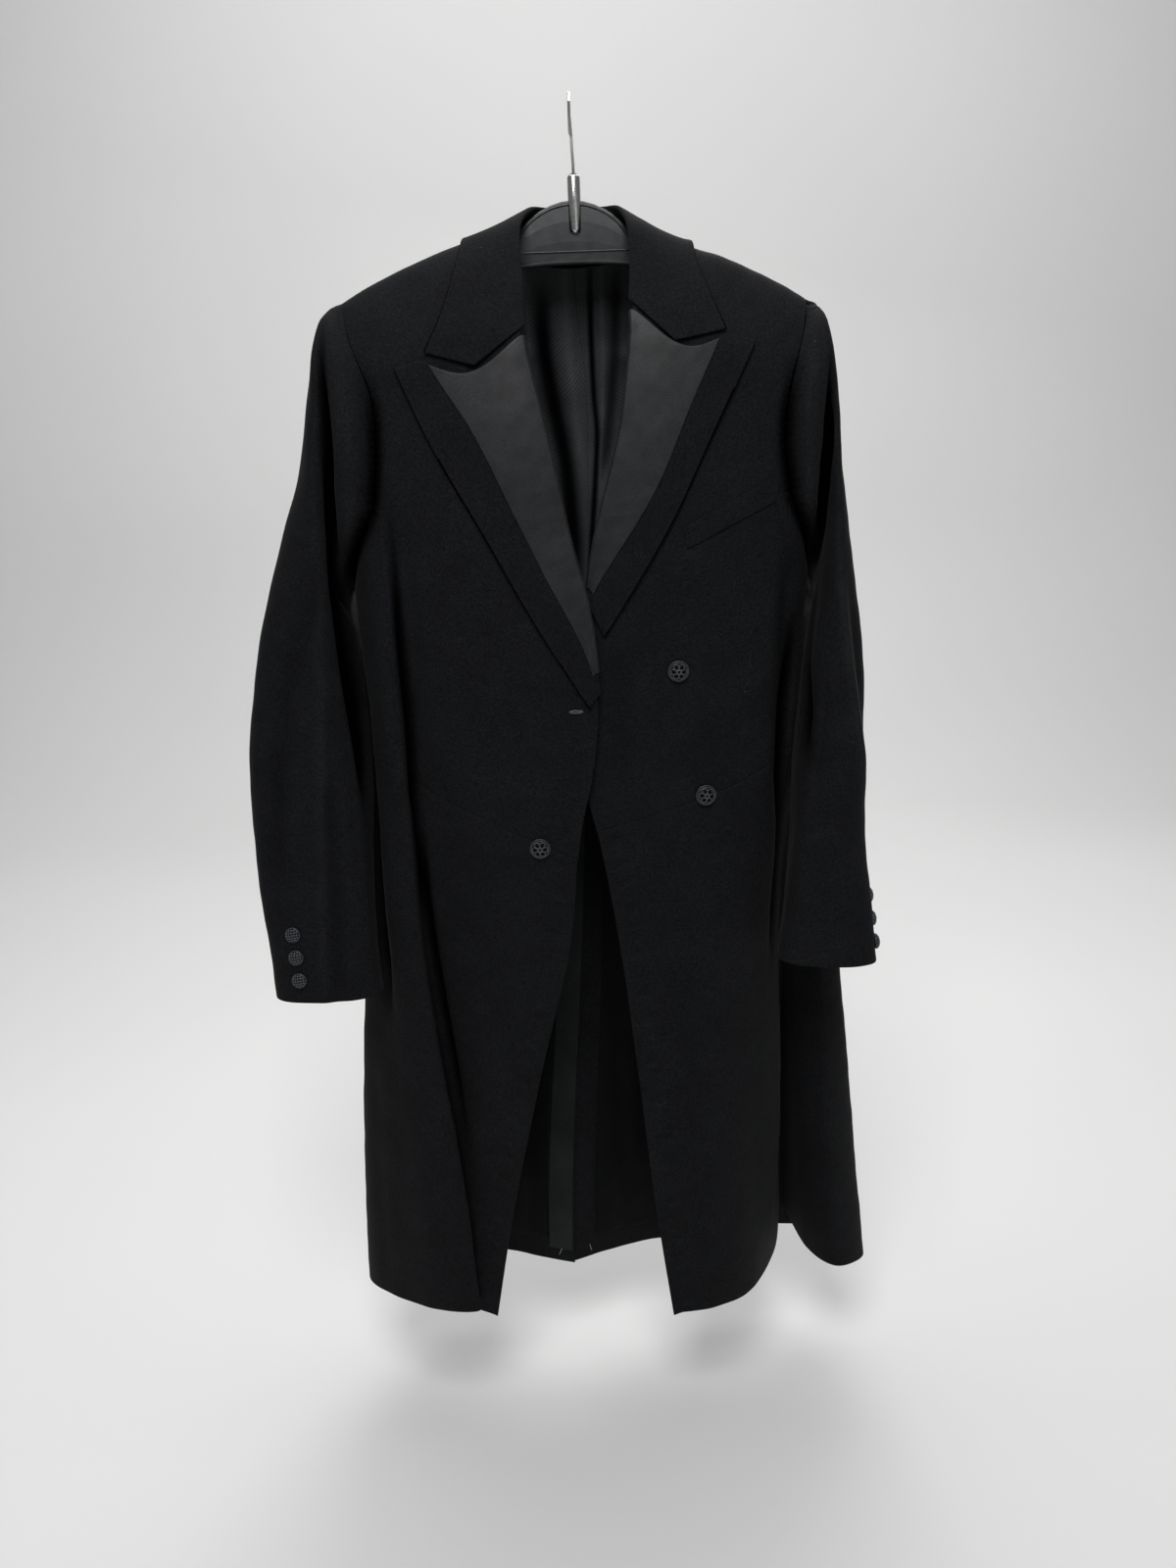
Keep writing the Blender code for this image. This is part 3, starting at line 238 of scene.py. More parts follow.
# Sleeves, a row per section: place along, outer point (out, drop), inner point (out, drop), middle y
# and half depth
SLEEVE = {
    "right": (
        (0.10, 0.226, 0.173, 0.2240, 0.428, 0.000, 0.062),
        (0.18, 0.240, 0.226, 0.2220, 0.455, -0.002, 0.060),
        (0.28, 0.256, 0.300, 0.2205, 0.500, -0.004, 0.056),
        (0.40, 0.286, 0.385, 0.2195, 0.545, -0.008, 0.050),
        (0.52, 0.310, 0.468, 0.2190, 0.590, -0.014, 0.045),
        (0.64, 0.323, 0.550, 0.2190, 0.635, -0.022, 0.040),
        (0.76, 0.325, 0.632, 0.2180, 0.685, -0.034, 0.034),
        (0.88, 0.321, 0.708, 0.2160, 0.738, -0.048, 0.029),
        (1.00, 0.314, 0.798, 0.2110, 0.797, -0.062, 0.026),
    ),
    "left": (
        (0.10, 0.220, 0.182, 0.2160, 0.428, 0.000, 0.062),
        (0.18, 0.231, 0.238, 0.2120, 0.455, -0.004, 0.060),
        (0.28, 0.235, 0.310, 0.2070, 0.500, -0.014, 0.056),
        (0.40, 0.2435, 0.388, 0.2030, 0.545, -0.026, 0.050),
        (0.52, 0.2535, 0.467, 0.1990, 0.585, -0.038, 0.044),
        (0.64, 0.2575, 0.545, 0.1950, 0.630, -0.048, 0.039),
        (0.76, 0.252, 0.624, 0.1880, 0.680, -0.056, 0.034),
        (0.88, 0.257, 0.698, 0.1810, 0.728, -0.063, 0.030),
        (1.00, 0.268, 0.778, 0.1730, 0.773, -0.070, 0.027),
    ),
}
# Sleeve seams, in degrees round the sleeve from its outer point over the front: at the armhole, at the cuff
HIND_SEAM = {"right": (-55.0, 58.0), "left": (-60.0, 10.0)}
FORE_SEAM = {"right": (130.0, 235.0), "left": (130.0, 195.0)}
SLEEVE_VALLEY = {"right": (0.2260, 0.2240), "left": (0.2230, 0.2080)}

# Lapels, a row per line across: place along, drop of the roll, outer edge (out, drop), share of it in silk
LAPEL = {
    "right": (
        (0.00, 0.200, 0.158, 0.224, 0.73),
        (0.25, 0.262, 0.124, 0.300, 0.61),
        (0.50, 0.346, 0.083, 0.376, 0.55),
        (0.75, 0.426, 0.040, 0.457, 0.42),
        (1.00, 0.512, 0.000, 0.524, 0.10),
    ),
    "left": (
        (0.00, 0.182, 0.153, 0.212, 0.70),
        (0.25, 0.252, 0.117, 0.283, 0.66),
        (0.50, 0.318, 0.082, 0.354, 0.60),
        (0.75, 0.374, 0.047, 0.412, 0.42),
        (1.00, 0.428, 0.016, 0.460, 0.10),
    ),
}
PEAK_SAG = {"right": 0.020, "left": 0.020}

# Collar, from the wearer's right end to the left: place, then fold (x, y, drop), or the drop alone where it
# rolls over the front edge, then neck seam, middle of the leaf and leaf edge, each as x and how many degrees
# over the shoulder, behind positive
COLLAR = (
    (0.00, 0.1935, (-0.0475, -85), (-0.088, -97), (-0.131, -82)),
    (0.12, 0.1520, (-0.0487, -59), (-0.080, -66), (-0.113, -64)),
    (0.22, (-0.0455, -0.0275, 0.1090), (-0.0520, -29), (-0.074, -33), (-0.100, -35)),
    (0.32, (-0.0370, 0.0020, 0.0885), (-0.0540, 0), (-0.068, 4), (-0.092, 6)),
    (0.41, (-0.0220, 0.0250, 0.0830), (-0.0360, 24), (-0.040, 38), (-0.058, 46)),
    (0.50, (0.0040, 0.0335, 0.0840), (0.0020, 37), (0.004, 48), (0.006, 60)),
    (0.59, (0.0280, 0.0250, 0.0835), (0.0360, 24), (0.046, 38), (0.064, 46)),
    (0.68, (0.0400, 0.0020, 0.0895), (0.0540, 0), (0.072, 4), (0.098, 6)),
    (0.78, (0.0465, -0.0275, 0.1110), (0.0525, -29), (0.077, -32), (0.105, -34)),
    (0.88, 0.1480, (0.0495, -56), (0.081, -58), (0.116, -55)),
    (1.00, 0.1750, (0.0480, -76), (0.083, -86), (0.128, -72)),
)

# Breast pocket welt on the wearer's left: upper then lower corners, out from the middle and drop
WELT = ((0.088, 0.365), (0.175, 0.322), (0.091, 0.384), (0.172, 0.345))
WELT_WALL = 1.2 * MM
WELT_LIFT = 1.5 * MM

# Buttons on the body: name, side, out from the middle, drop
BODY_BUTTONS = (
    ("front_button_upper", "left", 0.082, 0.493),
    ("front_button_lower", "left", 0.105, 0.613),
    ("front_button_right", "right", 0.047, 0.658),
)
CUFF_DROPS = {"right": (0.731, 0.753, 0.775), "left": (0.713, 0.736, 0.759)}

SIDES = {"right": -1.0, "left": 1.0}


def curve(stops, values, at):
    """A smooth curve through the stops; values may hold one number or one array per stop."""
    at, stops = np.asarray(at, float), np.asarray(stops, float)
    values = np.stack([np.asarray(v, float) for v in values])
    ends = np.arange(len(stops))
    low, high = np.maximum(ends - 1, 0), np.minimum(ends + 1, len(stops) - 1)
    spread = (stops[high] - stops[low]).reshape(-1, *(1,) * (values.ndim - 1))
    slopes = (values[high] - values[low]) / spread
    held = np.clip(at, stops[0], stops[-1])
    first = np.clip(np.searchsorted(stops, held, side="right") - 1, 0, len(stops) - 2)

    def taken(table, index):
        if table.ndim == 1:
            return table[index]
        shape = np.broadcast_shapes(index.shape, table.shape[1:])
        table = table.reshape(len(table), *(1,) * (len(shape) + 1 - table.ndim), *table.shape[1:])
        table = np.broadcast_to(table, (len(table), *shape))
        return np.take_along_axis(table, np.broadcast_to(index, shape)[None], 0)[0]

    span = stops[first + 1] - stops[first]
    s = (held - stops[first]) / span
    t = 1 - s
    bent = (
        (1 + 2 * s) * t * t * taken(values, first)
        + s * t * t * span * taken(slopes, first)
        + s * s * (1 + 2 * t) * taken(values, first + 1)
        - s * s * t * span * taken(slopes, first + 1)
    )
    return bent + (at - held) * np.where(at < stops[0], slopes[0], slopes[-1])


def column(table, key, at):
    """One column of a table of plain rows, keyed by its first column."""
    return curve([row[0] for row in table], [row[key] for row in table], at)


def smooth(x):
    """0 below 0, 1 above 1, and eased between."""
    x = np.clip(x, 0.0, 1.0)
    return x * x * (3 - 2 * x)


def section(turn):
    """The unit section of the body: how far out and how far forward, at this turn round it."""
    s, c = np.sin(turn), np.cos(turn)
    size = (np.abs(s) ** SQUARENESS + np.abs(c) ** SQUARENESS) ** (1 / SQUARENESS)
    return s / size, c / size


def turn_of(share):
    """The turn in front at which the section is this share of its half width."""
    share = np.clip(share, -0.9999, 0.9999)
    rest = (1 - np.abs(share) ** SQUARENESS) ** (1 / SQUARENESS)
    return np.arctan2(share, rest)


def front_turn(side, out, drop):
    """The turn in front at which the body is this far out from its middle."""
    return turn_of(out / column(BODY[side], 1, drop))


def skirt_point(side, turn, drop):
    """Out from the middle and backward, on the skirts."""
    rounds, rows = SKIRT_ROUND[side], SKIRT[side]
    beyond = turn > math.pi
    near = np.where(beyond, 2 * math.pi - turn, turn)
    drops = [row[0] for row in rows]
    outs = [curve(rounds, [p[0] for p in row[1:]], near) for row in rows]
    depths = [curve(rounds, [p[1] for p in row[1:]], near) for row in rows]
    out = curve(drops, outs, drop)
    return np.where(beyond, -out, out), curve(drops, depths, drop)


def body(side, turn, drop):
    """A point of the coat's outer face, at this turn round the body and this drop below the hook."""
    turn, drop = np.broadcast_arrays(np.asarray(turn, float), np.asarray(drop, float))
    out, fore = section(turn)
    wide = column(BODY[side], 1, drop)
    front = (1 + np.cos(turn)) / 2
    deep = column(BODY[side], 2, drop) * front + column(BODY[side], 3, drop) * (1 - front)
    ridge = column(RIDGE_LINE[side], 1, np.abs(SHOULDER_HALF * out))
    reach = np.clip((drop - ridge) / RIDGE_REACH, 0.0, 1.0)
    round_off = np.sqrt(1 - (1 - reach) ** 2)
    x, y = wide * out, -deep * fore * round_off
    for deep_fold, at, half in LONG_FOLD if side == "right" else ():
        starts = smooth((drop - LONG_FOLD_FROM) / LONG_FOLD_RUN)
        y = y + deep_fold * starts * np.exp(-(((turn - at) / half) ** 2))
    hung = smooth((drop - BLEND_FROM) / (BLEND_TO - BLEND_FROM))
    skirt_x, skirt_y = skirt_point(side, turn, drop)
    x = x + (skirt_x - x) * hung
    y = y + (skirt_y - y) * hung
    # the wearer's right front lies over the left one
    in_front = np.exp(-((turn / CROSSING_HALF) ** 2))
    lapped = smooth((drop - 0.36) / 0.06) * smooth((0.74 - drop) / 0.06) * in_front
    y = y + np.where(side == "right", -OVERLAP_OUT, OVERLAP_IN) * lapped
    # below the waist the wearer's left back laps over the right one
    vent = smooth((drop - 0.56) / 0.04) * np.exp(-(((turn - math.pi) / CROSSING_HALF) ** 2))
    y = y + np.where(side == "left", VENT_LIFT, -VENT_LIFT / 4) * vent
    off_middle = np.abs(turn - math.pi) / (math.pi - 2.2)
    drift = column(BACK_LINE, 1, drop) * smooth(1 - off_middle)
    return np.stack([SIDES[side] * x + drift, y, -drop], axis=-1)


def normals(surface, u, v, turn_sign, u_span=(-9, 9), v_span=(-9, 9)):
    """Outward unit normals of a surface, from points a small step either way."""
    step = PROBE
    across = surface(np.clip(u + step, *u_span), v) - surface(np.clip(u - step, *u_span), v)
    along = surface(u, np.clip(v + step, *v_span)) - surface(u, np.clip(v - step, *v_span))
    n = np.cross(across, along) * turn_sign
    return n / np.maximum(np.linalg.norm(n, axis=-1, keepdims=True), 1e-12)


def armhole_turn(side, drop):
    """The armhole in front, down to the top of the side seam."""
    drop = np.minimum(drop, ARMHOLE_SPLIT)
    return front_turn(side, column(ARMHOLE[side], 1, drop), drop)


def side_line(side, drop):
    """The turn of the armhole and then of the side seam."""
    hole = armhole_turn(side, drop)
    return hole + (SIDE_SEAM - hole) * np.clip((drop - ARMHOLE_SPLIT) / SEAM_RUN, 0, 1)


def back_line(side, drop):
    """The turn of the armhole behind and then of the back seam."""
    hole = math.pi - armhole_turn(side, drop)
    return hole + (BACK_SEAM - hole) * np.clip((drop - ARMHOLE_SPLIT) / SEAM_RUN, 0, 1)


def armhole_floor(share):
    """The drop of the armhole below the side seam's top, from its front (0) to its back (1)."""
    return ARMHOLE_SPLIT + ARMHOLE_DEEP * np.sin(math.pi * np.clip(share, 0, 1)) ** 0.8


def forepart(side):
    """Across u from the front edge to the armhole and side seam, down v from shoulder to waist."""

    def edge_turn(drop):
        return front_turn(side, column(FRONT_EDGE[side], 1, drop) + 3 * SEAM, drop)

    def surface(u, v):
        drop = NECK_TOP + 0.5 * v
        for _ in range(SOLVING_ROUNDS):
            turn = edge_turn(drop) + (side_line(side, drop) - edge_turn(drop)) * u
            top = column(RIDGE_LINE[side], 1, np.abs(SHOULDER_HALF * section(turn)[0]))
            low = column(WAIST[side], 1, turn)
            drop = top + (low - top) * v
        return body(side, turn, drop)

    return surface


def armhole_turns(side, place):
    """The armhole's turn and drop, at a place from 0 at the shoulder, over the front, to 1 there again."""
    place = np.mod(place, 1.0)
    top = ARMHOLE[side][0][0]
    fall = top + (ARMHOLE_SPLIT - top) * np.clip(np.minimum(place, 1 - place) / 0.3, 0, 1)
    turn = armhole_turn(side, fall)
    turn = np.where(place > 0.5, math.pi - turn, turn)
    low = np.clip((place - 0.3) / 0.4, 0, 1)
    first = armhole_turn(side, ARMHOLE_SPLIT)
    beneath = (place > 0.3) & (place < 0.7)
    turn = np.where(beneath, first + (math.pi - 2 * first) * low, turn)
    return turn, np.where(beneath, armhole_floor(low), fall)


def side_panel(side):
    """Across u from the side seam to the back seam, down v from the armhole to the waist."""

    def surface(u, v):
        hole = armhole_floor(u)
        drop = hole + 0.2 * v
        for _ in range(SOLVING_ROUNDS):
            turn = side_line(side, drop) + (back_line(side, drop) - side_line(side, drop)) * u
            low = column(WAIST[side], 1, turn)
            drop = hole + (low - hole) * v
        return body(side, turn, drop)

    return surface


def back_panel(side, lap=0.0):
    """Across u from the armhole and back seam to the middle, down v from the neck to the hem."""

    def surface(u, v):
        drop = NECK_TOP + 1.0 * v
        for _ in range(SOLVING_ROUNDS):
            last = math.pi + lap * smooth((drop - 0.62) / 0.05)
            turn = back_line(side, drop) + (last - back_line(side, drop)) * u
            out = np.abs(SHOULDER_HALF * section(turn)[0])
            ridge = column(RIDGE_LINE[side], 1, out)
            rise = BACK_NECK - column(RIDGE_LINE[side], 1, NECK_POINT)
            neck = BACK_NECK - rise * (out / NECK_POINT) ** 2
            top = np.where(out < NECK_POINT, neck, ridge)
            drop = top + (HEM_DROP - top) * v
        return body(side, turn, drop)

    return surface


def skirt_panel(side):
    """Across u from the front edge to the pleat, down v from the waist seam to the hem."""

    def surface(u, v):
        first = 0.03 if side == "right" else 0.0
        turn = first + (BACK_SEAM - first) * u
        top = column(WAIST[side], 1, turn)
        hem = column(HEM[side], 1, turn)
        return body(side, turn, top + (hem - top) * v)

    return surface


def sleeve_tube(side):
    """Round u from the outer line over the front and back again, down v from armhole to cuff."""
    rows = SLEEVE[side]
    sign = SIDES[side]

    def ring(row, u):
        out_a, out_h, in_a, in_h, mid_y, half_y = row[1:]
        angle = 2 * math.pi * u
        along = np.cos(angle)
        size = (np.abs(np.cos(angle)) ** 2.4 + np.abs(np.sin(angle)) ** 2.4) ** (1 / 2.4)
        along, across = along / size, np.sin(angle) / size
        a = (out_a + in_a) / 2 + (out_a - in_a) / 2 * along
        h = (out_h + in_h) / 2 + (out_h - in_h) / 2 * along
        return np.stack([sign * a, mid_y - half_y * across, -h], axis=-1)

    def surface(u, v):
        u, v = np.broadcast_arrays(np.asarray(u, float), np.asarray(v, float))
        turn, drop = armhole_turns(side, u)
        first = body(side, turn, drop)
        stops = [0.0] + [row[0] for row in rows]
        point = curve(stops, [first] + [ring(row, u) for row in rows], v[..., None])
        # the drag fold at the front of the armhole
        in_front = smooth(np.sin(2 * math.pi * u) * 2)
        fall = -point[..., 2]
        top_a, low_a = SLEEVE_VALLEY[side]
        line = top_a + (low_a - top_a) * np.clip((fall - 0.22) / 0.26, 0, 1)
        strength = DRAG_DEEP * smooth((fall - 0.20) / 0.10) * smooth((0.52 - fall) / 0.08)
        pinch = strength * np.exp(-(((np.abs(point[..., 0]) - line) / DRAG_HALF) ** 2)) * in_front
        moved = point.copy()
        moved[..., 1] = moved[..., 1] + pinch
        return moved

    return surface


def sleeve_seam(side, table, v):
    """How far round the sleeve a seam lies, as a share of a full turn, at v down it."""
    top, cuff = table[side]
    return (top + (cuff - top) * smooth(v)) / 360


def sleeve_half(side, under):
    """The top sleeve, from hind seam over the outside to fore seam, or the under sleeve, from there back."""
    tube = sleeve_tube(side)

    def surface(s, v):
        hind, fore = sleeve_seam(side, HIND_SEAM, v), sleeve_seam(side, FORE_SEAM, v)
        first, last = (fore, hind + 1) if under else (hind, fore)
        return tube(first + (last - first) * s, v)

    return surface


def lapel_row(side, place):
    """Out and drop of the roll and of the outer edge, and the share in silk, at a place down the lapel."""
    roll_h, edge_a, edge_h, silk = [column(LAPEL[side], key, place) for key in range(1, 5)]
    return column(FRONT_EDGE[side], 1, roll_h), roll_h, edge_a, edge_h, silk


def off_front(side, out, drop, lift):
    """A point this far off the outer face in front."""

    def flat(a, h):
        return body(side, front_turn(side, a, h), h)

    n = normals(flat, out, drop, -SIDES[side])
    return flat(out, drop) + n * np.asarray(lift)[..., None]


def lapel_surface(side, extra=0.0):
    """Across s from the roll (0) to the outer edge (1), the turned roll below 0; along b down the lapel."""

    def surface(s, b):
        s, b = np.broadcast_arrays(np.asarray(s, float), np.asarray(b, float))
        roll_a, roll_h, edge_a, edge_h = lapel_row(side, b)[:4]
        flat = np.clip(s, 0, 1)
        peak = PEAK_SAG[side] * np.clip(1 - b / 0.22, 0, 1) ** 1.5
        a = roll_a + (edge_a - roll_a) * flat
        sag = np.sin(math.pi * np.clip(flat * 1.25, 0, 1)) ** 1.3
        h = roll_h + (edge_h - roll_h) * flat + peak * sag
        wide = np.clip((edge_a - roll_a) / 0.08, 0.15, 1)
        lift = LAPEL_REST + LAPEL_RISE * wide * np.sin(math.pi * np.clip(flat, 0, 1) ** 0.8) + extra
        curl = np.clip(-s, 0, 1)
        half = (LAPEL_REST + CLOTH) / 2
        radius = half + extra
        angle = math.pi * curl
        turned_lift = LAPEL_REST - half + radius * np.cos(angle)
        turned_a = roll_a - radius * np.sin(angle)
        lift = np.where(s < 0, turned_lift, lift)
        a = np.where(s < 0, turned_a, a)
        return off_front(side, a, h, lift)

    return surface


def shoulder(x, degrees):
    """A point of the outer face, by its x and how many degrees over the shoulder it lies, behind positive."""
    x, lean = np.broadcast_arrays(np.asarray(x, float), np.radians(np.asarray(degrees, float)))
    over = np.minimum(np.abs(lean), math.pi / 2)
    fall = RIDGE_REACH * (1 - np.cos(over) + np.abs(lean) - over)

    def on(side):
        drop = column(RIDGE_LINE[side], 1, np.abs(x)) + fall
        turn = front_turn(side, np.abs(x), drop)
        fore = section(turn)[1]
        deep = np.where(lean < 0, -column(BODY[side], 2, drop), column(BODY[side], 3, drop))
        return np.stack([x, deep * fore * np.sin(over), -drop], axis=-1)

    return np.where((x < 0)[..., None], on("right"), on("left"))


def raised(x, degrees, lift):
    """A point this far off the outer face round the shoulder."""
    step = 1 * MM
    across = shoulder(x + step, degrees) - shoulder(x - step, degrees)
    along = shoulder(x, degrees + 1.0) - shoulder(x, degrees - 1.0)
    n = np.cross(across, along)
    n = n / np.linalg.norm(n, axis=-1, keepdims=True)
    return shoulder(x, degrees) + n * lift


def collar_row(fold, seam, middle):
    """Four points of the collar: its neck seam and three round its fold."""
    middle_point = raised(np.array(middle[0]), np.array(middle[1]), COLLAR_RISE)
    if isinstance(fold, float):
        side = "right" if seam[0] < 0 else "left"
        half = (COLLAR_REST + COLLAR_WALL) / 2
        line = []
        for degrees in (180, 135, 90, 45):
            a = math.radians(degrees)
            out = np.array(column(FRONT_EDGE[side], 1, fold) - half * math.sin(a) - SEAM)
            lift = np.array(COLLAR_REST - half + half * math.cos(a))
            line.append(off_front(side, out, np.array(fold), lift))
        return line
    top = np.array([fold[0], fold[1], -fold[2]])
    neck = shoulder(np.array(seam[0]), np.array(seam[1]))
    inward = np.array([0.0, 0.012, 0.0]) - neck
    inward[2] = 0.0
    lifted = np.array([0.0, 0.0, 3 * SEAM])
    neck = neck + inward / np.linalg.norm(inward) * (COLLAR_WALL + 2 * SEAM) + lifted
    crest = top - (neck + middle_point) / 2
    crest = crest / np.linalg.norm(crest)
    across = middle_point - neck
    across = across - crest * np.dot(across, crest)
    across = across / np.linalg.norm(across)
    inner = top - (crest + across) * FOLD_HALF
    outer = top - (crest - across) * FOLD_HALF
    return [neck, inner, top, outer]


def collar_surface():
    """Round c from the wearer's right end to the left, across s from neck seam (0) to edge (1)."""
    places = [row[0] for row in COLLAR]
    rows = [collar_row(*row[1:4]) for row in COLLAR]

    def line(key, c):
        return [curve(places, [row[key][k] for row in COLLAR], c) for k in range(2)]

    def surface(c, s):
        c, s = np.broadcast_arrays(np.asarray(c, float), np.asarray(s, float))
        lines = [curve(places, [row[k] for row in rows], c[..., None]) for k in range(4)]
        lines += [raised(*line(3, c), COLLAR_RISE), raised(*line(4, c), COLLAR_REST)]
        return curve((0.0, 0.24, 0.32, 0.40, 0.70, 1.0), lines, s[..., None])

    return surface


def welt(u, v):
    """Across u along the pocket mouth, down v over the height of the welt."""
    corners = np.array(WELT)
    upper = corners[0] + (corners[1] - corners[0]) * np.asarray(u)[..., None]
    lower = corners[2] + (corners[3] - corners[2]) * np.asarray(u)[..., None]
    at = upper + (lower - upper) * np.asarray(v)[..., None]
    return body("left", front_turn("left", at[..., 0], at[..., 1]), at[..., 1])


def linear(code):
    """An sRGB hex colour as linear red, green and blue."""
    shares = [int(code[i:i + 2], 16) / 255 for i in (0, 2, 4)]
    return tuple(c / 12.92 if c <= 0.04045 else ((c + 0.055) / 1.055) ** 2.4 for c in shares)


# Creases of the fronts, a row for each: height and half width in mm, the way it runs, and its line, as x
# and drop
FRONT_CREASES = (
    (-4.4, 4.2, "down", ((-0.1735, 0.31), (-0.1710, 0.45), (-0.1690, 0.546), (-0.1689, 0.62), (-0.1672, 0.70),
                         (-0.1621, 0.79), (-0.1514, 0.893), (-0.1374, 1.02))),
    (-2.5, 7.0, "down", ((-0.2165, 0.44), (-0.2165, 0.536), (-0.2160, 0.62), (-0.2145, 0.73),
                         (-0.2075, 0.85))),
    (-3.4, 3.6, "down", ((-0.2180, 0.44), (-0.2170, 0.536), (-0.2160, 0.62), (-0.2145, 0.73),
                         (-0.2075, 0.85))),
    (-4.2, 4.0, "down", ((0.1975, 0.42), (0.1905, 0.494), (0.1855, 0.535), (0.1840, 0.60), (0.1835, 0.67),
                         (0.1790, 0.74), (0.1730, 0.82))),
    (-1.6, 14.0, "down", ((-0.158, 0.33), (-0.152, 0.40), (-0.140, 0.52))),
    (1.2, 9.0, "down", ((-0.148, 0.34), (-0.150, 0.50), (-0.152, 0.60))),
    (0.22, 0.9, "down", ((-0.054, 0.52), (-0.0555, 0.56), (-0.061, 0.66))),
    (0.22, 0.9, "across", ((-0.122, 0.538), (-0.08, 0.5355), (-0.012, 0.531))),
    (-0.5, 5.0, "across", ((-0.090, 0.498), (-0.04, 0.508), (0.004, 0.514))),
    (-0.9, 16.0, "across", ((-0.155, 0.43), (-0.10, 0.455), (-0.05, 0.47))),
    (0.8, 12.0, "across", ((-0.150, 0.575), (-0.09, 0.600), (-0.03, 0.615))),
    (-1.3, 22.0, "down", ((-0.095, 0.72), (-0.105, 0.90), (-0.128, 1.20))),
    (1.3, 18.0, "down", ((-0.055, 0.70), (-0.078, 0.90), (-0.118, 1.19))),
    (-1.0, 20.0, "down", ((-0.205, 0.80), (-0.210, 1.00), (-0.214, 1.20))),
    (-0.8, 9.0, "down", ((-0.232, 0.86), (-0.238, 1.00), (-0.240, 1.20))),
    (-4.0, 8.0, "down", ((0.187, 0.38), (0.1843, 0.44), (0.1818, 0.585), (0.183, 0.66))),
    (-1.4, 9.0, "down", ((0.030, 0.46), (0.027, 0.54), (0.024, 0.63))),
    (0.9, 12.0, "down", ((0.052, 0.47), (0.050, 0.56), (0.046, 0.63))),
    (-0.8, 14.0, "across", ((0.05, 0.425), (0.11, 0.415), (0.17, 0.385))),
    (0.7, 16.0, "across", ((0.07, 0.545), (0.12, 0.535), (0.175, 0.50))),
    (-1.5, 18.0, "down", ((0.060, 0.68), (0.080, 0.90), (0.104, 1.18))),
    (1.5, 22.0, "down", ((0.105, 0.66), (0.122, 0.90), (0.140, 1.18))),
    (-0.9, 10.0, "down", ((0.155, 0.70), (0.158, 0.90), (0.160, 1.14))),
    (-1.2, 8.0, "down", ((0.236, 0.82), (0.244, 1.00), (0.250, 1.18))),
)

# Creases of the back, in the same columns
BACK_CREASES = (
    (-2.2, 10.0, "across", ((-0.17, 0.235), (-0.09, 0.205), (-0.02, 0.200))),
    (-1.8, 9.0, "across", ((0.02, 0.205), (0.10, 0.215), (0.175, 0.250))),
    (-3.0, 11.0, "down", ((-0.165, 0.25), (-0.150, 0.34), (-0.118, 0.46), (-0.100, 0.56))),
    (-3.0, 11.0, "down", ((0.165, 0.25), (0.152, 0.35), (0.120, 0.47), (0.100, 0.56))),
    (1.8, 14.0, "down", ((-0.080, 0.24), (-0.072, 0.40), (-0.060, 0.56))),
    (1.6, 15.0, "down", ((0.085, 0.24), (0.070, 0.40), (0.064, 0.56))),
    (-1.6, 12.0, "across", ((-0.12, 0.530), (-0.06, 0.515), (0.0, 0.520))),
    (-1.4, 10.0, "across", ((0.02, 0.500), (0.07, 0.508), (0.13, 0.535))),
    (-2.4, 16.0, "down", ((-0.050, 0.62), (-0.062, 0.85), (-0.078, 1.18))),
    (-2.0, 14.0, "down", ((0.045, 0.62), (0.040, 0.85), (0.034, 1.18))),
    (-3.0, 13.0, "down", ((-0.160, 0.60), (-0.178, 0.85), (-0.192, 1.18))),
    (-3.4, 14.0, "down", ((0.150, 0.60), (0.172, 0.85), (0.190, 1.18))),
    (2.4, 16.0, "down", ((-0.200, 0.66), (-0.215, 0.90), (-0.225, 1.18))),
    (2.2, 18.0, "down", ((0.200, 0.66), (0.222, 0.90), (0.238, 1.18))),
)

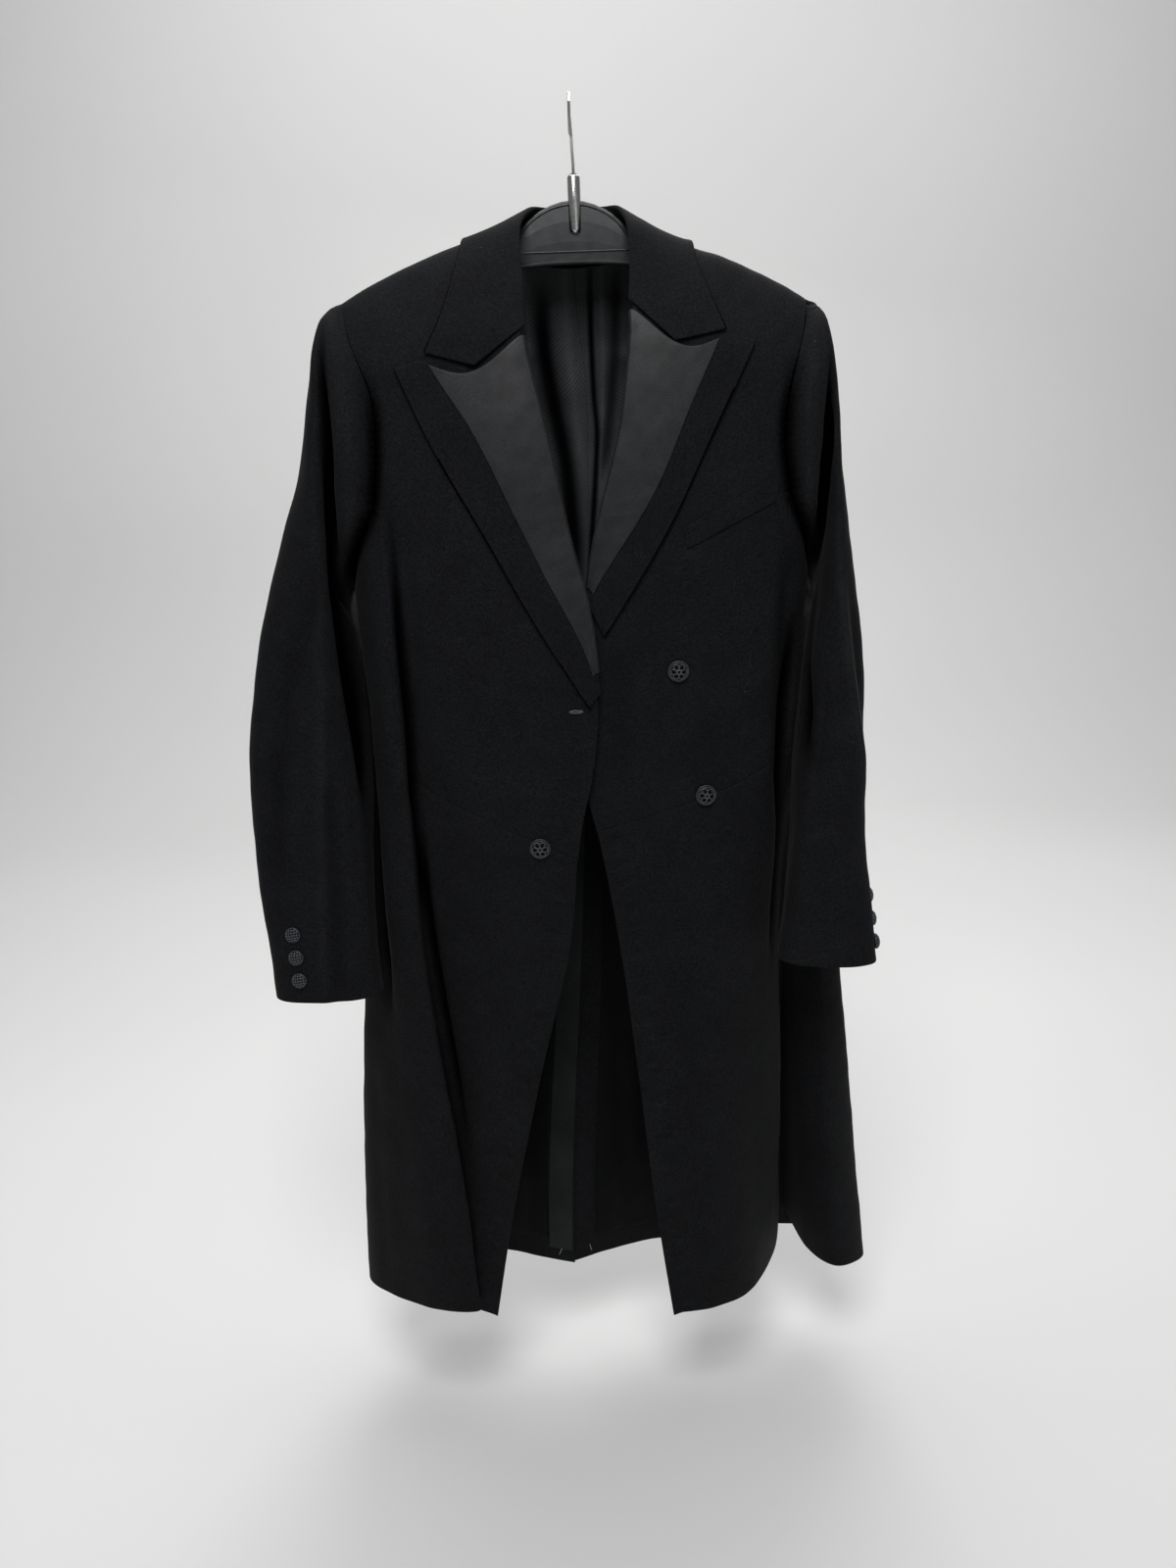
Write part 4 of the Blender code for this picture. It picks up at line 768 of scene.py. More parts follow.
# Creases of the sleeves, in the same columns: in front, then behind
SLEEVE_CREASES = {
    "right": (
        (-3.5, 4.0, "down", ((-0.2165, 0.43), (-0.2165, 0.536), (-0.2165, 0.60), (-0.2140, 0.72),
                             (-0.208, 0.80))),
        (-7.0, 2.9, "down", ((-0.2215, 0.16), (-0.2225, 0.22), (-0.2232, 0.28), (-0.2254, 0.345),
                             (-0.2266, 0.44), (-0.2215, 0.56), (-0.219, 0.66))),
        (2.5, 8.0, "down", ((-0.208, 0.19), (-0.203, 0.27), (-0.206, 0.36), (-0.216, 0.46))),
        (-4.0, 11.0, "down", ((-0.238, 0.36), (-0.2518, 0.432), (-0.2811, 0.505), (-0.2996, 0.63),
                              (-0.302, 0.73))),
        (2.4, 7.0, "down", ((-0.240, 0.40), (-0.250, 0.55), (-0.258, 0.683), (-0.264, 0.84))),
        (-1.6, 7.0, "down", ((-0.243, 0.56), (-0.246, 0.70), (-0.249, 0.83))),
        (-1.0, 12.0, "across", ((-0.315, 0.49), (-0.28, 0.475), (-0.24, 0.50))),
        (1.4, 9.0, "down", ((-0.312, 0.50), (-0.320, 0.62), (-0.312, 0.76))),
    ),
    "left": (
        (-3.5, 4.0, "down", ((0.2040, 0.40), (0.1975, 0.47), (0.1905, 0.53), (0.1860, 0.60), (0.184, 0.68))),
        (-7.0, 2.8, "down", ((0.2225, 0.20), (0.2199, 0.2777), (0.2157, 0.3375), (0.2110, 0.42),
                             (0.2050, 0.50), (0.2020, 0.60))),
        (2.2, 7.0, "down", ((0.205, 0.20), (0.200, 0.28), (0.203, 0.37), (0.206, 0.45))),
        (2.8, 5.0, "down", ((0.226, 0.36), (0.2287, 0.4285), (0.2491, 0.587), (0.255, 0.684),
                            (0.2657, 0.80))),
        (-2.4, 9.0, "down", ((0.236, 0.40), (0.246, 0.50), (0.262, 0.60), (0.262, 0.72))),
        (-0.8, 12.0, "across", ((0.20, 0.54), (0.225, 0.525), (0.25, 0.54))),
        (-1.2, 12.0, "down", ((0.214, 0.50), (0.212, 0.62), (0.205, 0.78))),
        (1.2, 9.0, "across", ((0.18, 0.66), (0.215, 0.65), (0.25, 0.67))),
    ),
}
SLEEVE_BACK_CREASES = {
    "right": (
        (-3.2, 8.0, "across", ((-0.33, 0.42), (-0.27, 0.445), (-0.22, 0.425))),
        (-2.8, 7.0, "across", ((-0.33, 0.47), (-0.28, 0.480), (-0.22, 0.50))),
        (-2.0, 8.0, "across", ((-0.33, 0.55), (-0.28, 0.535), (-0.22, 0.545))),
        (-3.0, 10.0, "down", ((-0.235, 0.20), (-0.246, 0.30), (-0.262, 0.40))),
        (1.8, 12.0, "down", ((-0.280, 0.46), (-0.290, 0.60), (-0.280, 0.78))),
    ),
    "left": (
        (-3.0, 8.0, "across", ((0.20, 0.430), (0.235, 0.440), (0.27, 0.425))),
        (-2.6, 7.0, "across", ((0.20, 0.495), (0.235, 0.478), (0.27, 0.470))),
        (-2.2, 9.0, "across", ((0.20, 0.540), (0.230, 0.545), (0.27, 0.53))),
        (-3.0, 9.0, "down", ((0.226, 0.21), (0.232, 0.30), (0.236, 0.40))),
        (1.8, 10.0, "down", ((0.232, 0.46), (0.236, 0.60), (0.225, 0.76))),
    ),
}

# Folds of the lining in the neck, towards the front of the coat, in the same columns
LINING_FOLDS = (
    (-4.5, 7.5, "down", ((-0.033, 0.12), (-0.031, 0.20), (-0.024, 0.25), (-0.014, 0.31), (-0.006, 0.45))),
    (-4.5, 2.0, "down", ((0.0156, 0.10), (0.0140, 0.18), (0.0150, 0.24), (0.0170, 0.285), (0.0005, 0.46))),
    (-2.6, 4.5, "down", ((0.041, 0.11), (0.038, 0.17), (0.033, 0.24), (0.020, 0.34))),
    (2.0, 7.0, "down", ((-0.011, 0.10), (-0.008, 0.195), (-0.004, 0.25), (0.002, 0.34))),
    (1.8, 5.0, "down", ((-0.050, 0.10), (-0.046, 0.18), (-0.041, 0.25))),
    (1.6, 4.0, "down", ((0.026, 0.10), (0.025, 0.20), (0.022, 0.30))),
)

# Long waves that leave no cloth quite flat: length, direction and phase
UNEVEN = (
    (0.046, (1.0, 0.2, 0.5), 0.4),
    (0.061, (-0.6, 0.1, 1.0), 2.1),
    (0.083, (0.9, -0.3, -0.7), 4.0),
    (0.115, (0.3, 0.6, 1.0), 1.2),
    (0.029, (1.0, 0.0, -0.9), 5.1),
)
UNEVEN_HEIGHT = 0.6 * MM

# Creases fade out this near a sleeve's seam, and this much of their run from their ends
SEAM_CALM = 18 * MM
CREASE_FADE = 0.22
# A crease up to this half width, in mm, is sharp enough to get full painted shade in its bottom
SHARP = 4.5
# The share of the armhole valley's depth that is painted as shade
VALLEY_SHADE = 0.9

# The sleeves: their fullness beside the hip, and how far the left one's crown is let down
HIP_FULLNESS = 6.5 * MM
HIP_DROP = 0.56
HIP_HALF = 0.12
CROWN_DROP = {"right": 0.0, "left": 5.2 * MM}
CROWN_REACH = 11 * MM
CROWN_CALM = 0.035

# The valley along a sleeve's seam in front: its depth, half width, and the drops where it starts and ends
VALLEY_DEEP = 4.5 * MM
VALLEY_HALF = 7 * MM
VALLEY_FROM, VALLEY_FROM_RUN = 0.205, 0.07
VALLEY_TO, VALLEY_TO_RUN = 0.43, 0.04

# Edges that curl up: across which way, height and reach in mm, and the length of the waves along them
LAPEL_CURL = ("u", 2.4, 14.0)
COLLAR_CURL = ("v", 2.6, 9.0)
CURL_WAVE = 0.17
# Painted shade along the rim of a curling edge: how deep it counts, and how wide it runs
RIM_SHADE = 5.5 * MM
RIM_WIDE = 0.8 * MM

# Puckers of a stitched edge: their lengths, how far they reach, and how strongly they are painted as shade
# and light
RIPPLE_LENGTHS = (0.0093, 0.0147, 0.0231)
RIPPLE_REACH = 0.007
RIPPLE_SHADE = 1.4

# How round each kind of edge is, in mm
SEWN, TURNED, CUT_EDGE = 0.3, 0.8, 0.5
WALLS = {"wool": CLOTH, "silk": SILK, "lining": LINING}
UNDER = -CLOTH - 3 * SEAM

# How much the nap of flat cloth shines; in a crease it is cut down as painted shade
NAP_SHEEN = 0.02

# Scale of a wave texture that draws one band a metre, across its diagonal and straight
DIAGONAL_BAND = 0.444
STRAIGHT_BAND = 0.314


def node(tree, kind, inputs=None, **values):
    """Adds a shader node; each input is a value, or an output to link."""
    made = tree.nodes.new("ShaderNode" + kind)
    for key, value in values.items():
        setattr(made, key, value)
    for key, value in (inputs or {}).items():
        if isinstance(value, bpy.types.NodeSocket):
            tree.links.new(value, made.inputs[key])
        else:
            made.inputs[key].default_value = value
    return made


def fresh(name, **constants):
    """A new material with constants on its shader's own sockets."""
    material = bpy.data.materials.new(name)
    material.use_nodes = True
    shader = material.node_tree.nodes["Principled BSDF"]
    for key, value in constants.items():
        shader.inputs[key.replace("_", " ")].default_value = value
    return material, material.node_tree, shader


def shaded(tree, base, low, high, share, spread=(0.32, 0.68)):
    """The base colour times a factor that goes from low to high as the share goes over its spread."""
    span = {"Value": share, "From Min": spread[0], "From Max": spread[1], "To Min": low, "To Max": high}
    factor = node(tree, "MapRange", span).outputs["Result"]
    grey = node(tree, "CombineColor", {"Red": factor, "Green": factor, "Blue": factor}).outputs["Color"]
    mixed = node(tree, "Mix", data_type="RGBA", blend_type="MULTIPLY")
    mixed.inputs["Factor"].default_value = 1.0
    tree.links.new(grey, mixed.inputs[7])
    if isinstance(base, bpy.types.NodeSocket):
        tree.links.new(base, mixed.inputs[6])
    else:
        mixed.inputs[6].default_value = (*base, 1.0)
    return mixed.outputs[2]


def crease_painted_shading(tree, shader, cloth_colour, level):
    """Painted shade for what lies deep in a crease: less colour, gloss and nap sheen there; and painted
    light, a little more of each, on its ridges.
    """
    depth = node(tree, "Attribute", attribute_name="hollow").outputs["Fac"]
    span = {"Value": depth, "From Min": -5.0, "From Max": 3.0, "To Min": 0.04, "To Max": 1.28}
    share = node(tree, "MapRange", span, interpolation_type="SMOOTHSTEP").outputs["Result"]
    for socket, full in (("Specular IOR Level", level), ("Sheen Weight", NAP_SHEEN)):
        part = node(tree, "Math", {0: share, 1: full}, operation="MULTIPLY").outputs[0]
        tree.links.new(part, shader.inputs[socket])
    return shaded(tree, cloth_colour, 0.0, 2.0, share, (0.0, 2.0))


def bumped(tree, shader, height, strength, deep):
    """Gives a surface small relief of this depth."""
    bump = node(tree, "Bump", {"Height": height, "Strength": strength, "Distance": deep})
    tree.links.new(bump.outputs["Normal"], shader.inputs["Normal"])


def wool_cloth(colour):
    """Black wool barathea: matt, with a fine twill, a little nap and odd specks of lint."""
    material, tree, shader = fresh("black wool barathea", Roughness=0.85, Sheen_Roughness=0.4)
    cloth_map = node(tree, "UVMap", uv_map="cloth").outputs["UV"]
    place = node(tree, "TexCoord").outputs["Object"]
    # the real twill lies 0.5 mm apart: drawn at 1.7 mm, the finest that shows
    waves = {"Vector": cloth_map, "Scale": DIAGONAL_BAND / (1.7 * MM), "Distortion": 0.8, "Detail": 1.0}
    twill = node(tree, "TexWave", waves, bands_direction="DIAGONAL").outputs["Fac"]
    grain = node(tree, "TexNoise", {"Vector": place, "Scale": 1 / (2.0 * MM), "Detail": 3.0}).outputs["Fac"]
    clouds = {"Vector": place, "Scale": 1 / (38 * MM), "Detail": 3.0, "Roughness": 0.6}
    mottle = node(tree, "TexNoise", clouds).outputs["Fac"]
    cloth_colour = shaded(tree, colour, 0.84, 1.16, mottle)
    cloth_colour = shaded(tree, cloth_colour, 0.48, 1.52, grain)
    # painted shade deep in the creases and painted light on their ridges
    cloth_colour = crease_painted_shading(tree, shader, cloth_colour, 0.12)
    # lint: about one pale fibre in every 45 mm square
    cells = node(tree, "TexVoronoi", {"Vector": place, "Scale": 1 / (16 * MM)}, feature="F1")
    near = node(tree, "Math", {0: cells.outputs["Distance"], 1: 0.034}, operation="LESS_THAN").outputs[0]
    pick = node(tree, "SeparateColor", {"Color": cells.outputs["Color"]}).outputs["Red"]
    rare = node(tree, "Math", {0: pick, 1: 0.90}, operation="GREATER_THAN").outputs[0]
    lint = node(tree, "Math", {0: near, 1: rare}, operation="MULTIPLY").outputs[0]
    mixed = node(tree, "Mix", {0: lint, 6: cloth_colour, 7: (0.055, 0.055, 0.058, 1.0)}, data_type="RGBA")
    tree.links.new(mixed.outputs[2], shader.inputs["Base Color"])
    rough = node(tree, "Math", {0: twill, 1: grain}, operation="ADD").outputs[0]
    bumped(tree, shader, rough, 0.55, 0.12 * MM)
    return material


def silk_cloth(colour):
    """Black corded silk of the facings: fine ribs across, a soft gloss that shifts in patches."""
    material, tree, shader = fresh(
        "black corded silk", Roughness=0.52, Specular_IOR_Level=0.26, Sheen_Weight=0.03, Sheen_Roughness=0.35
    )
    cloth_map = node(tree, "UVMap", uv_map="cloth").outputs["UV"]
    place = node(tree, "TexCoord").outputs["Object"]
    # the real ribs lie about 0.6 mm apart: drawn at 1.4 mm
    waves = {"Vector": cloth_map, "Scale": STRAIGHT_BAND / (1.4 * MM), "Distortion": 0.5, "Detail": 1.0}
    ribs = node(tree, "TexWave", waves, bands_direction="Y").outputs["Fac"]
    grain = node(tree, "TexNoise", {"Vector": place, "Scale": 1 / (1.5 * MM), "Detail": 2.0}).outputs["Fac"]
    patches = node(tree, "TexNoise", {"Vector": place, "Scale": 1 / (15 * MM), "Detail": 5.0}).outputs["Fac"]
    cloth_colour = shaded(tree, colour, 0.72, 1.30, patches)
    cloth_colour = shaded(tree, cloth_colour, 0.70, 1.30, grain)
    tree.links.new(cloth_colour, shader.inputs["Base Color"])
    gloss = node(tree, "MapRange", {"Value": patches, "To Min": 0.60, "To Max": 0.42}).outputs["Result"]
    tree.links.new(gloss, shader.inputs["Roughness"])
    rough = node(tree, "Math", {0: ribs, 1: grain}, operation="ADD").outputs[0]
    bumped(tree, shader, rough, 0.5, 0.10 * MM)
    return material


def twill_lining(name, colour, level=0.24):
    """Lining twill: a smooth cotton warp whose diagonal lines show, with a dull gloss."""
    material, tree, shader = fresh(name, Roughness=0.62)
    cloth_map = node(tree, "UVMap", uv_map="cloth").outputs["UV"]
    place = node(tree, "TexCoord").outputs["Object"]
    # the real twill lies 1 mm apart: drawn at 2.4 mm
    waves = {"Vector": cloth_map, "Scale": DIAGONAL_BAND / (2.4 * MM), "Distortion": 0.7, "Detail": 1.0}
    twill = node(tree, "TexWave", waves, bands_direction="DIAGONAL").outputs["Fac"]
    grain = node(tree, "TexNoise", {"Vector": place, "Scale": 1 / (1.8 * MM), "Detail": 2.0}).outputs["Fac"]
    patches = node(tree, "TexNoise", {"Vector": place, "Scale": 1 / (45 * MM), "Detail": 2.0}).outputs["Fac"]
    cloth_colour = shaded(tree, colour, 0.78, 1.22, patches)
    cloth_colour = shaded(tree, cloth_colour, 0.72, 1.28, twill, (0.0, 1.0))
    cloth_colour = shaded(tree, cloth_colour, 0.82, 1.18, grain)
    # painted shade deep in the folds and painted light on their ridges
    cloth_colour = crease_painted_shading(tree, shader, cloth_colour, level)
    tree.links.new(cloth_colour, shader.inputs["Base Color"])
    bumped(tree, shader, twill, 0.5, 0.15 * MM)
    return material


def thread_cover(name, colour, thread, rough, level):
    """Silk or cotton thread worked over a mould or a stitch: its turns show as a fine rib."""
    material, tree, shader = fresh(name, Roughness=rough, Specular_IOR_Level=level)
    place = node(tree, "TexCoord").outputs["Object"]
    turns = node(tree, "TexNoise", {"Vector": place, "Scale": 1 / thread, "Detail": 2.0}).outputs["Fac"]
    tree.links.new(shaded(tree, colour, 0.6, 1.4, turns), shader.inputs["Base Color"])
    bumped(tree, shader, turns, 0.7, 0.15 * MM)
    return material


def moulded_plastic(colour):
    """Polystyrene moulded in a satin tool: an even sheen with faint scuffs."""
    name = "satin moulded polystyrene"
    material, tree, shader = fresh(name, Roughness=0.34, IOR=1.59, Specular_IOR_Level=0.5)
    place = node(tree, "TexCoord").outputs["Object"]
    clouds = {"Vector": place, "Scale": 1 / (9 * MM), "Detail": 5.0, "Roughness": 0.7}
    scuffs = node(tree, "TexNoise", clouds).outputs["Fac"]
    fine = node(tree, "TexNoise", {"Vector": place, "Scale": 1 / (0.8 * MM), "Detail": 1.0}).outputs["Fac"]
    tree.links.new(shaded(tree, colour, 0.75, 1.3, scuffs), shader.inputs["Base Color"])
    gloss = node(tree, "MapRange", {"Value": scuffs, "To Min": 0.26, "To Max": 0.44}).outputs["Result"]
    tree.links.new(gloss, shader.inputs["Roughness"])
    bumped(tree, shader, fine, 0.15, 0.05 * MM)
    return material


def plated_wire(colour):
    """Nickel-plated steel wire, drawn along its length: bright, with fine lines and slight dulling."""
    material, tree, shader = fresh("nickel-plated steel wire", Metallic=1.0, Roughness=0.2)
    place = node(tree, "TexCoord").outputs["Object"]
    dull = node(tree, "TexNoise", {"Vector": place, "Scale": 1 / (3 * MM), "Detail": 3.0}).outputs["Fac"]
    tree.links.new(shaded(tree, colour, 0.85, 1.1, dull), shader.inputs["Base Color"])
    gloss = node(tree, "MapRange", {"Value": dull, "To Min": 0.14, "To Max": 0.30}).outputs["Result"]
    tree.links.new(gloss, shader.inputs["Roughness"])
    return material


def pale_paper(colour):
    """Matt background paper for the floor and backdrop: no gloss, hardly any pattern."""
    material, tree, shader = fresh("matt background paper", Roughness=0.95, Specular_IOR_Level=0.1)
    place = node(tree, "TexCoord").outputs["Object"]
    cloudy = node(tree, "TexNoise", {"Vector": place, "Scale": 0.6, "Detail": 2.0}).outputs["Fac"]
    tree.links.new(shaded(tree, colour, 0.97, 1.03, cloudy), shader.inputs["Base Color"])
    return material


def cloth_values():
    """The colours of the cloth and the depth of its creases."""
    return bpy.context.scene.coat_cloth


def trim_values():
    """The colours and sizes of buttons, thread and hanger."""
    return bpy.context.scene.coat_trim


MADE = {}


def finish_of(kind):
    """The coat's materials, each made once."""
    if not MADE:
        cut, trim = cloth_values(), trim_values()
        MADE["wool"] = wool_cloth(cut.wool_colour)
        MADE["silk"] = silk_cloth(cut.silk_colour)
        # The lining twill in two copies: lighter in the neck as painted light, much darker and less glossy
        # inside the skirts as painted shade
        MADE["lining"] = twill_lining("black lining twill", cut.painted_light_lining_colour)
        MADE["painted shade lining"] = twill_lining("dark lining twill", cut.painted_shade_lining_colour, 0.08)
        MADE["vent"] = twill_lining("grey-green facing twill", cut.vent_colour, 0.12)
        # the cords get real gloss from the shader, and a base colour lighter than black silk as painted
        # highlight; the buttonhole shares it
        MADE["cord"] = thread_cover("black silk cord", trim.cord_colour_with_painted_highlight, 0.5 * MM, 0.28, 0.5)
        MADE["mould"] = thread_cover("black thread over a mould", trim.mould_colour, 0.4 * MM, 0.65, 0.1)
        MADE["thread"] = thread_cover("grey tacking thread", trim.thread_colour, 0.4 * MM, 0.7, 0.1)
        MADE["plastic"] = moulded_plastic(trim.plastic_colour)
        MADE["wire"] = plated_wire(trim.wire_colour)
    return MADE[kind]


def pressed(creases, x, drop, sharp=False):
    """How far a table's creases raise the cloth at points given by x and drop; or, with sharp set, how deep
    they lie for painted shade and light, the sharp ones in full and wider ones less.
    """
    height = np.zeros(np.shape(x))
    for rise, width, way, line in creases:
        along, across = (drop, x) if way == "down" else (x, drop)
        stops = [p[1] if way == "down" else p[0] for p in line]
        middle = [p[0] if way == "down" else p[1] for p in line]
        run = CREASE_FADE * (stops[-1] - stops[0])
        off = across - curve(stops, middle, np.clip(along, stops[0], stops[-1]))
        fade = smooth((along - stops[0]) / run) * smooth((stops[-1] - along) / run)
        share = min(1.0, (SHARP / width) ** 2) if sharp else 1.0
        height = height + share * rise * MM * fade * np.exp(-((off / (width * MM)) ** 2))
    return height


def from_armhole(side, points):
    """Distance of points from the seam of a sleeve."""
    turns, drops = armhole_turns(side, np.linspace(0, 1, 90))
    flat = points.reshape(-1, 3)
    near = np.full(len(flat), 9.0)
    for stitch in body(side, turns, drops):
        near = np.minimum(near, np.linalg.norm(flat - stitch, axis=1))
    return near.reshape(points.shape[:-1])


def armhole_valley(near, points):
    """The valley that the weight of a sleeve makes along its seam in front."""
    drop = -points[..., 2]
    starts = smooth((drop - VALLEY_FROM) / VALLEY_FROM_RUN)
    ends = smooth((VALLEY_TO - drop) / VALLEY_TO_RUN)
    in_front = smooth((0.0 - points[..., 1]) / 0.02)
    return -VALLEY_DEEP * (starts * ends * in_front) * np.exp(-((near / VALLEY_HALF) ** 2))


def uneven(points):
    """A slight unevenness that no pressing takes out of cloth."""
    height = 0.0
    for length, way, phase in UNEVEN:
        height = height + np.sin(2 * math.pi * (points @ np.array(way)) / length + phase)
    return height / len(UNEVEN)


def canvassed(points):
    """The slighter unevenness of cloth that lies over canvas."""
    return 0.5 * UNEVEN_HEIGHT * uneven(points)


def body_relief(side, points, sharp=False):
    """The creases of the coat's body at its points; with sharp set, only the depths that are painted as shade
    and light, the armhole valley's among them.
    """
    x, y, drop = points[..., 0], points[..., 1], -points[..., 2]
    front = smooth((0.004 - y) / 0.024)
    rear = smooth((y - 0.004) / 0.024)
    raised_by = pressed(FRONT_CREASES, x, drop, sharp) * front + pressed(BACK_CREASES, x, drop, sharp) * rear
    near = from_armhole(side, points)
    valley = armhole_valley(near, points)
    if sharp:
        return raised_by * smooth(near / SEAM_CALM) + VALLEY_SHADE * valley
    height = raised_by * cloth_values().crease_depth + UNEVEN_HEIGHT * uneven(points)
    return height * smooth(near / SEAM_CALM) + valley


def sleeve_relief(side, points, sharp=False):
    """The creases of a sleeve at its points, and its fullness where it rests on the hip; with sharp set, only
    the depths that are painted as shade and light.
    """
    x, y, drop = points[..., 0], points[..., 1], -points[..., 2]
    rows = SLEEVE[side]
    middle = curve([(row[2] + row[4]) / 2 for row in rows], [row[5] for row in rows], np.maximum(drop, 0.29))
    front = smooth((middle - y) / 0.016)
    rear = smooth((y - middle) / 0.016)
    raised_by = pressed(SLEEVE_CREASES[side], x, drop, sharp) * front
    raised_by = raised_by + pressed(SLEEVE_BACK_CREASES[side], x, drop, sharp) * rear
    near = from_armhole(side, points)
    valley = armhole_valley(near, points)
    if sharp:
        return raised_by * smooth(near / SEAM_CALM) + VALLEY_SHADE * valley
    inner = curve([row[4] for row in rows], [row[3] for row in rows], np.maximum(drop, 0.43))
    full = smooth((inner + 0.010 - np.abs(x)) / 0.010) * np.exp(-(((drop - HIP_DROP) / HIP_HALF) ** 2))
    height = raised_by * cloth_values().crease_depth + UNEVEN_HEIGHT * uneven(points) + HIP_FULLNESS * full
    return height * smooth(near / SEAM_CALM) + valley


def settled_sleeve(side, under):
    """Half a sleeve, with its crown let down to the height of the shoulder's end."""
    half = sleeve_half(side, under)

    def surface(u, v):
        points = half(u, v)
        top = smooth((0.21 + points[..., 2]) / 0.03)
        down = CROWN_DROP[side] * top * np.exp(-((from_armhole(side, points) / CROWN_REACH) ** 2))
        return points - down[..., None] * np.array([0.0, 0.0, 1.0])

    return surface


def spread(*runs_of_stops):
    """Evenly spaced stops, a run after another, each given as its first, its last and their number."""
    return np.concatenate([np.linspace(*run) for run in runs_of_stops])


def runs(points, axis):
    """Distance run from the first row or column of a grid of points, along an axis of the grid."""
    steps = np.linalg.norm(np.diff(points, axis=axis), axis=-1)
    start = np.zeros_like(np.take(steps, [0], axis=axis))
    return np.concatenate([start, np.cumsum(steps, axis=axis)], axis=axis)


def edged(stops, length, radii):
    """Stops with a few close ones at each end, where the edge of the cloth is rounded."""
    first, last, span = stops[0], stops[-1], stops[-1] - stops[0]
    near = np.array([0.0, 0.12, 0.4, 1.0]) * span / length
    low, high = first + near * radii[0], last - near[::-1] * radii[1]
    gap = 0.2 * span / len(stops)
    return np.concatenate([low, stops[(stops > low[-1] + gap) & (stops < high[0] - gap)], high])


def rippled(height, inset, off, along):
    """Small puckers of a stitched edge, this far in from it."""
    waves = sum(np.sin(2 * math.pi * along / length + k) for k, length in enumerate(RIPPLE_LENGTHS))
    return height * waves / 3 * np.exp(-(((off - inset) / RIPPLE_REACH) ** 2))


def curled(curl, over, along):
    """How far a curling edge rises, and the painted shade along its rim."""
    axis, rise, reach = curl
    far, run = (over[:, -1:] - over, along) if axis == "u" else (along[-1:] - along, over)
    waves = 0.7 + 0.3 * np.sin(2 * math.pi * run / CURL_WAVE)
    return rise * MM * np.exp(-far / (reach * MM)) * waves, RIM_SHADE * (far < RIM_WIDE)


def rounded_share(over, along, edges):
    """The share of its full thickness that the cloth has near its rounded edges."""
    keep = np.ones(over.shape)
    for gap, radius in zip((over, over[:, -1:] - over, along, along[-1:] - along), edges):
        keep = np.minimum(keep, np.sqrt(1 - (1 - np.clip(gap / radius, 0.02, 1.0)) ** 2))
    return keep


def sheet_mesh(rows, columns):
    """A closed sheet of two grids bridged all round, with its corners in order of row and column."""
    mesh = bmesh.new()
    layers = []
    for level in (0.0, -1.0):
        grid = bmesh.ops.create_grid(mesh, x_segments=columns - 1, y_segments=rows - 1, size=0.5)["verts"]
        bmesh.ops.translate(mesh, verts=grid, vec=(0, 0, level))
        grid.sort(key=lambda vert: (round(vert.co.y, 6), round(vert.co.x, 6)))
        layers.append(grid)
    rims = [edge for edge in mesh.edges if edge.is_boundary]
    rims.sort(key=lambda edge: -edge.verts[0].co.z)
    bmesh.ops.bridge_loops(mesh, edges=rims)
    bmesh.ops.recalc_face_normals(mesh, faces=mesh.faces)
    mesh.verts.index_update()
    return mesh, np.array([vert.index for grid in layers for vert in grid])


def finished(mesh, name):
    """A bmesh as a smooth mesh."""
    data = bpy.data.meshes.new(name)
    mesh.to_mesh(data)
    mesh.free()
    data.shade_smooth()
    return data


def placed(name, data, *materials):
    """An object of the coat, at the origin, with its place in its mesh."""
    thing = bpy.data.objects.new(name, data)
    for material in materials:
        data.materials.append(material)
    bpy.context.scene.collection.objects.link(thing)
    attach(thing, "root")
    return thing


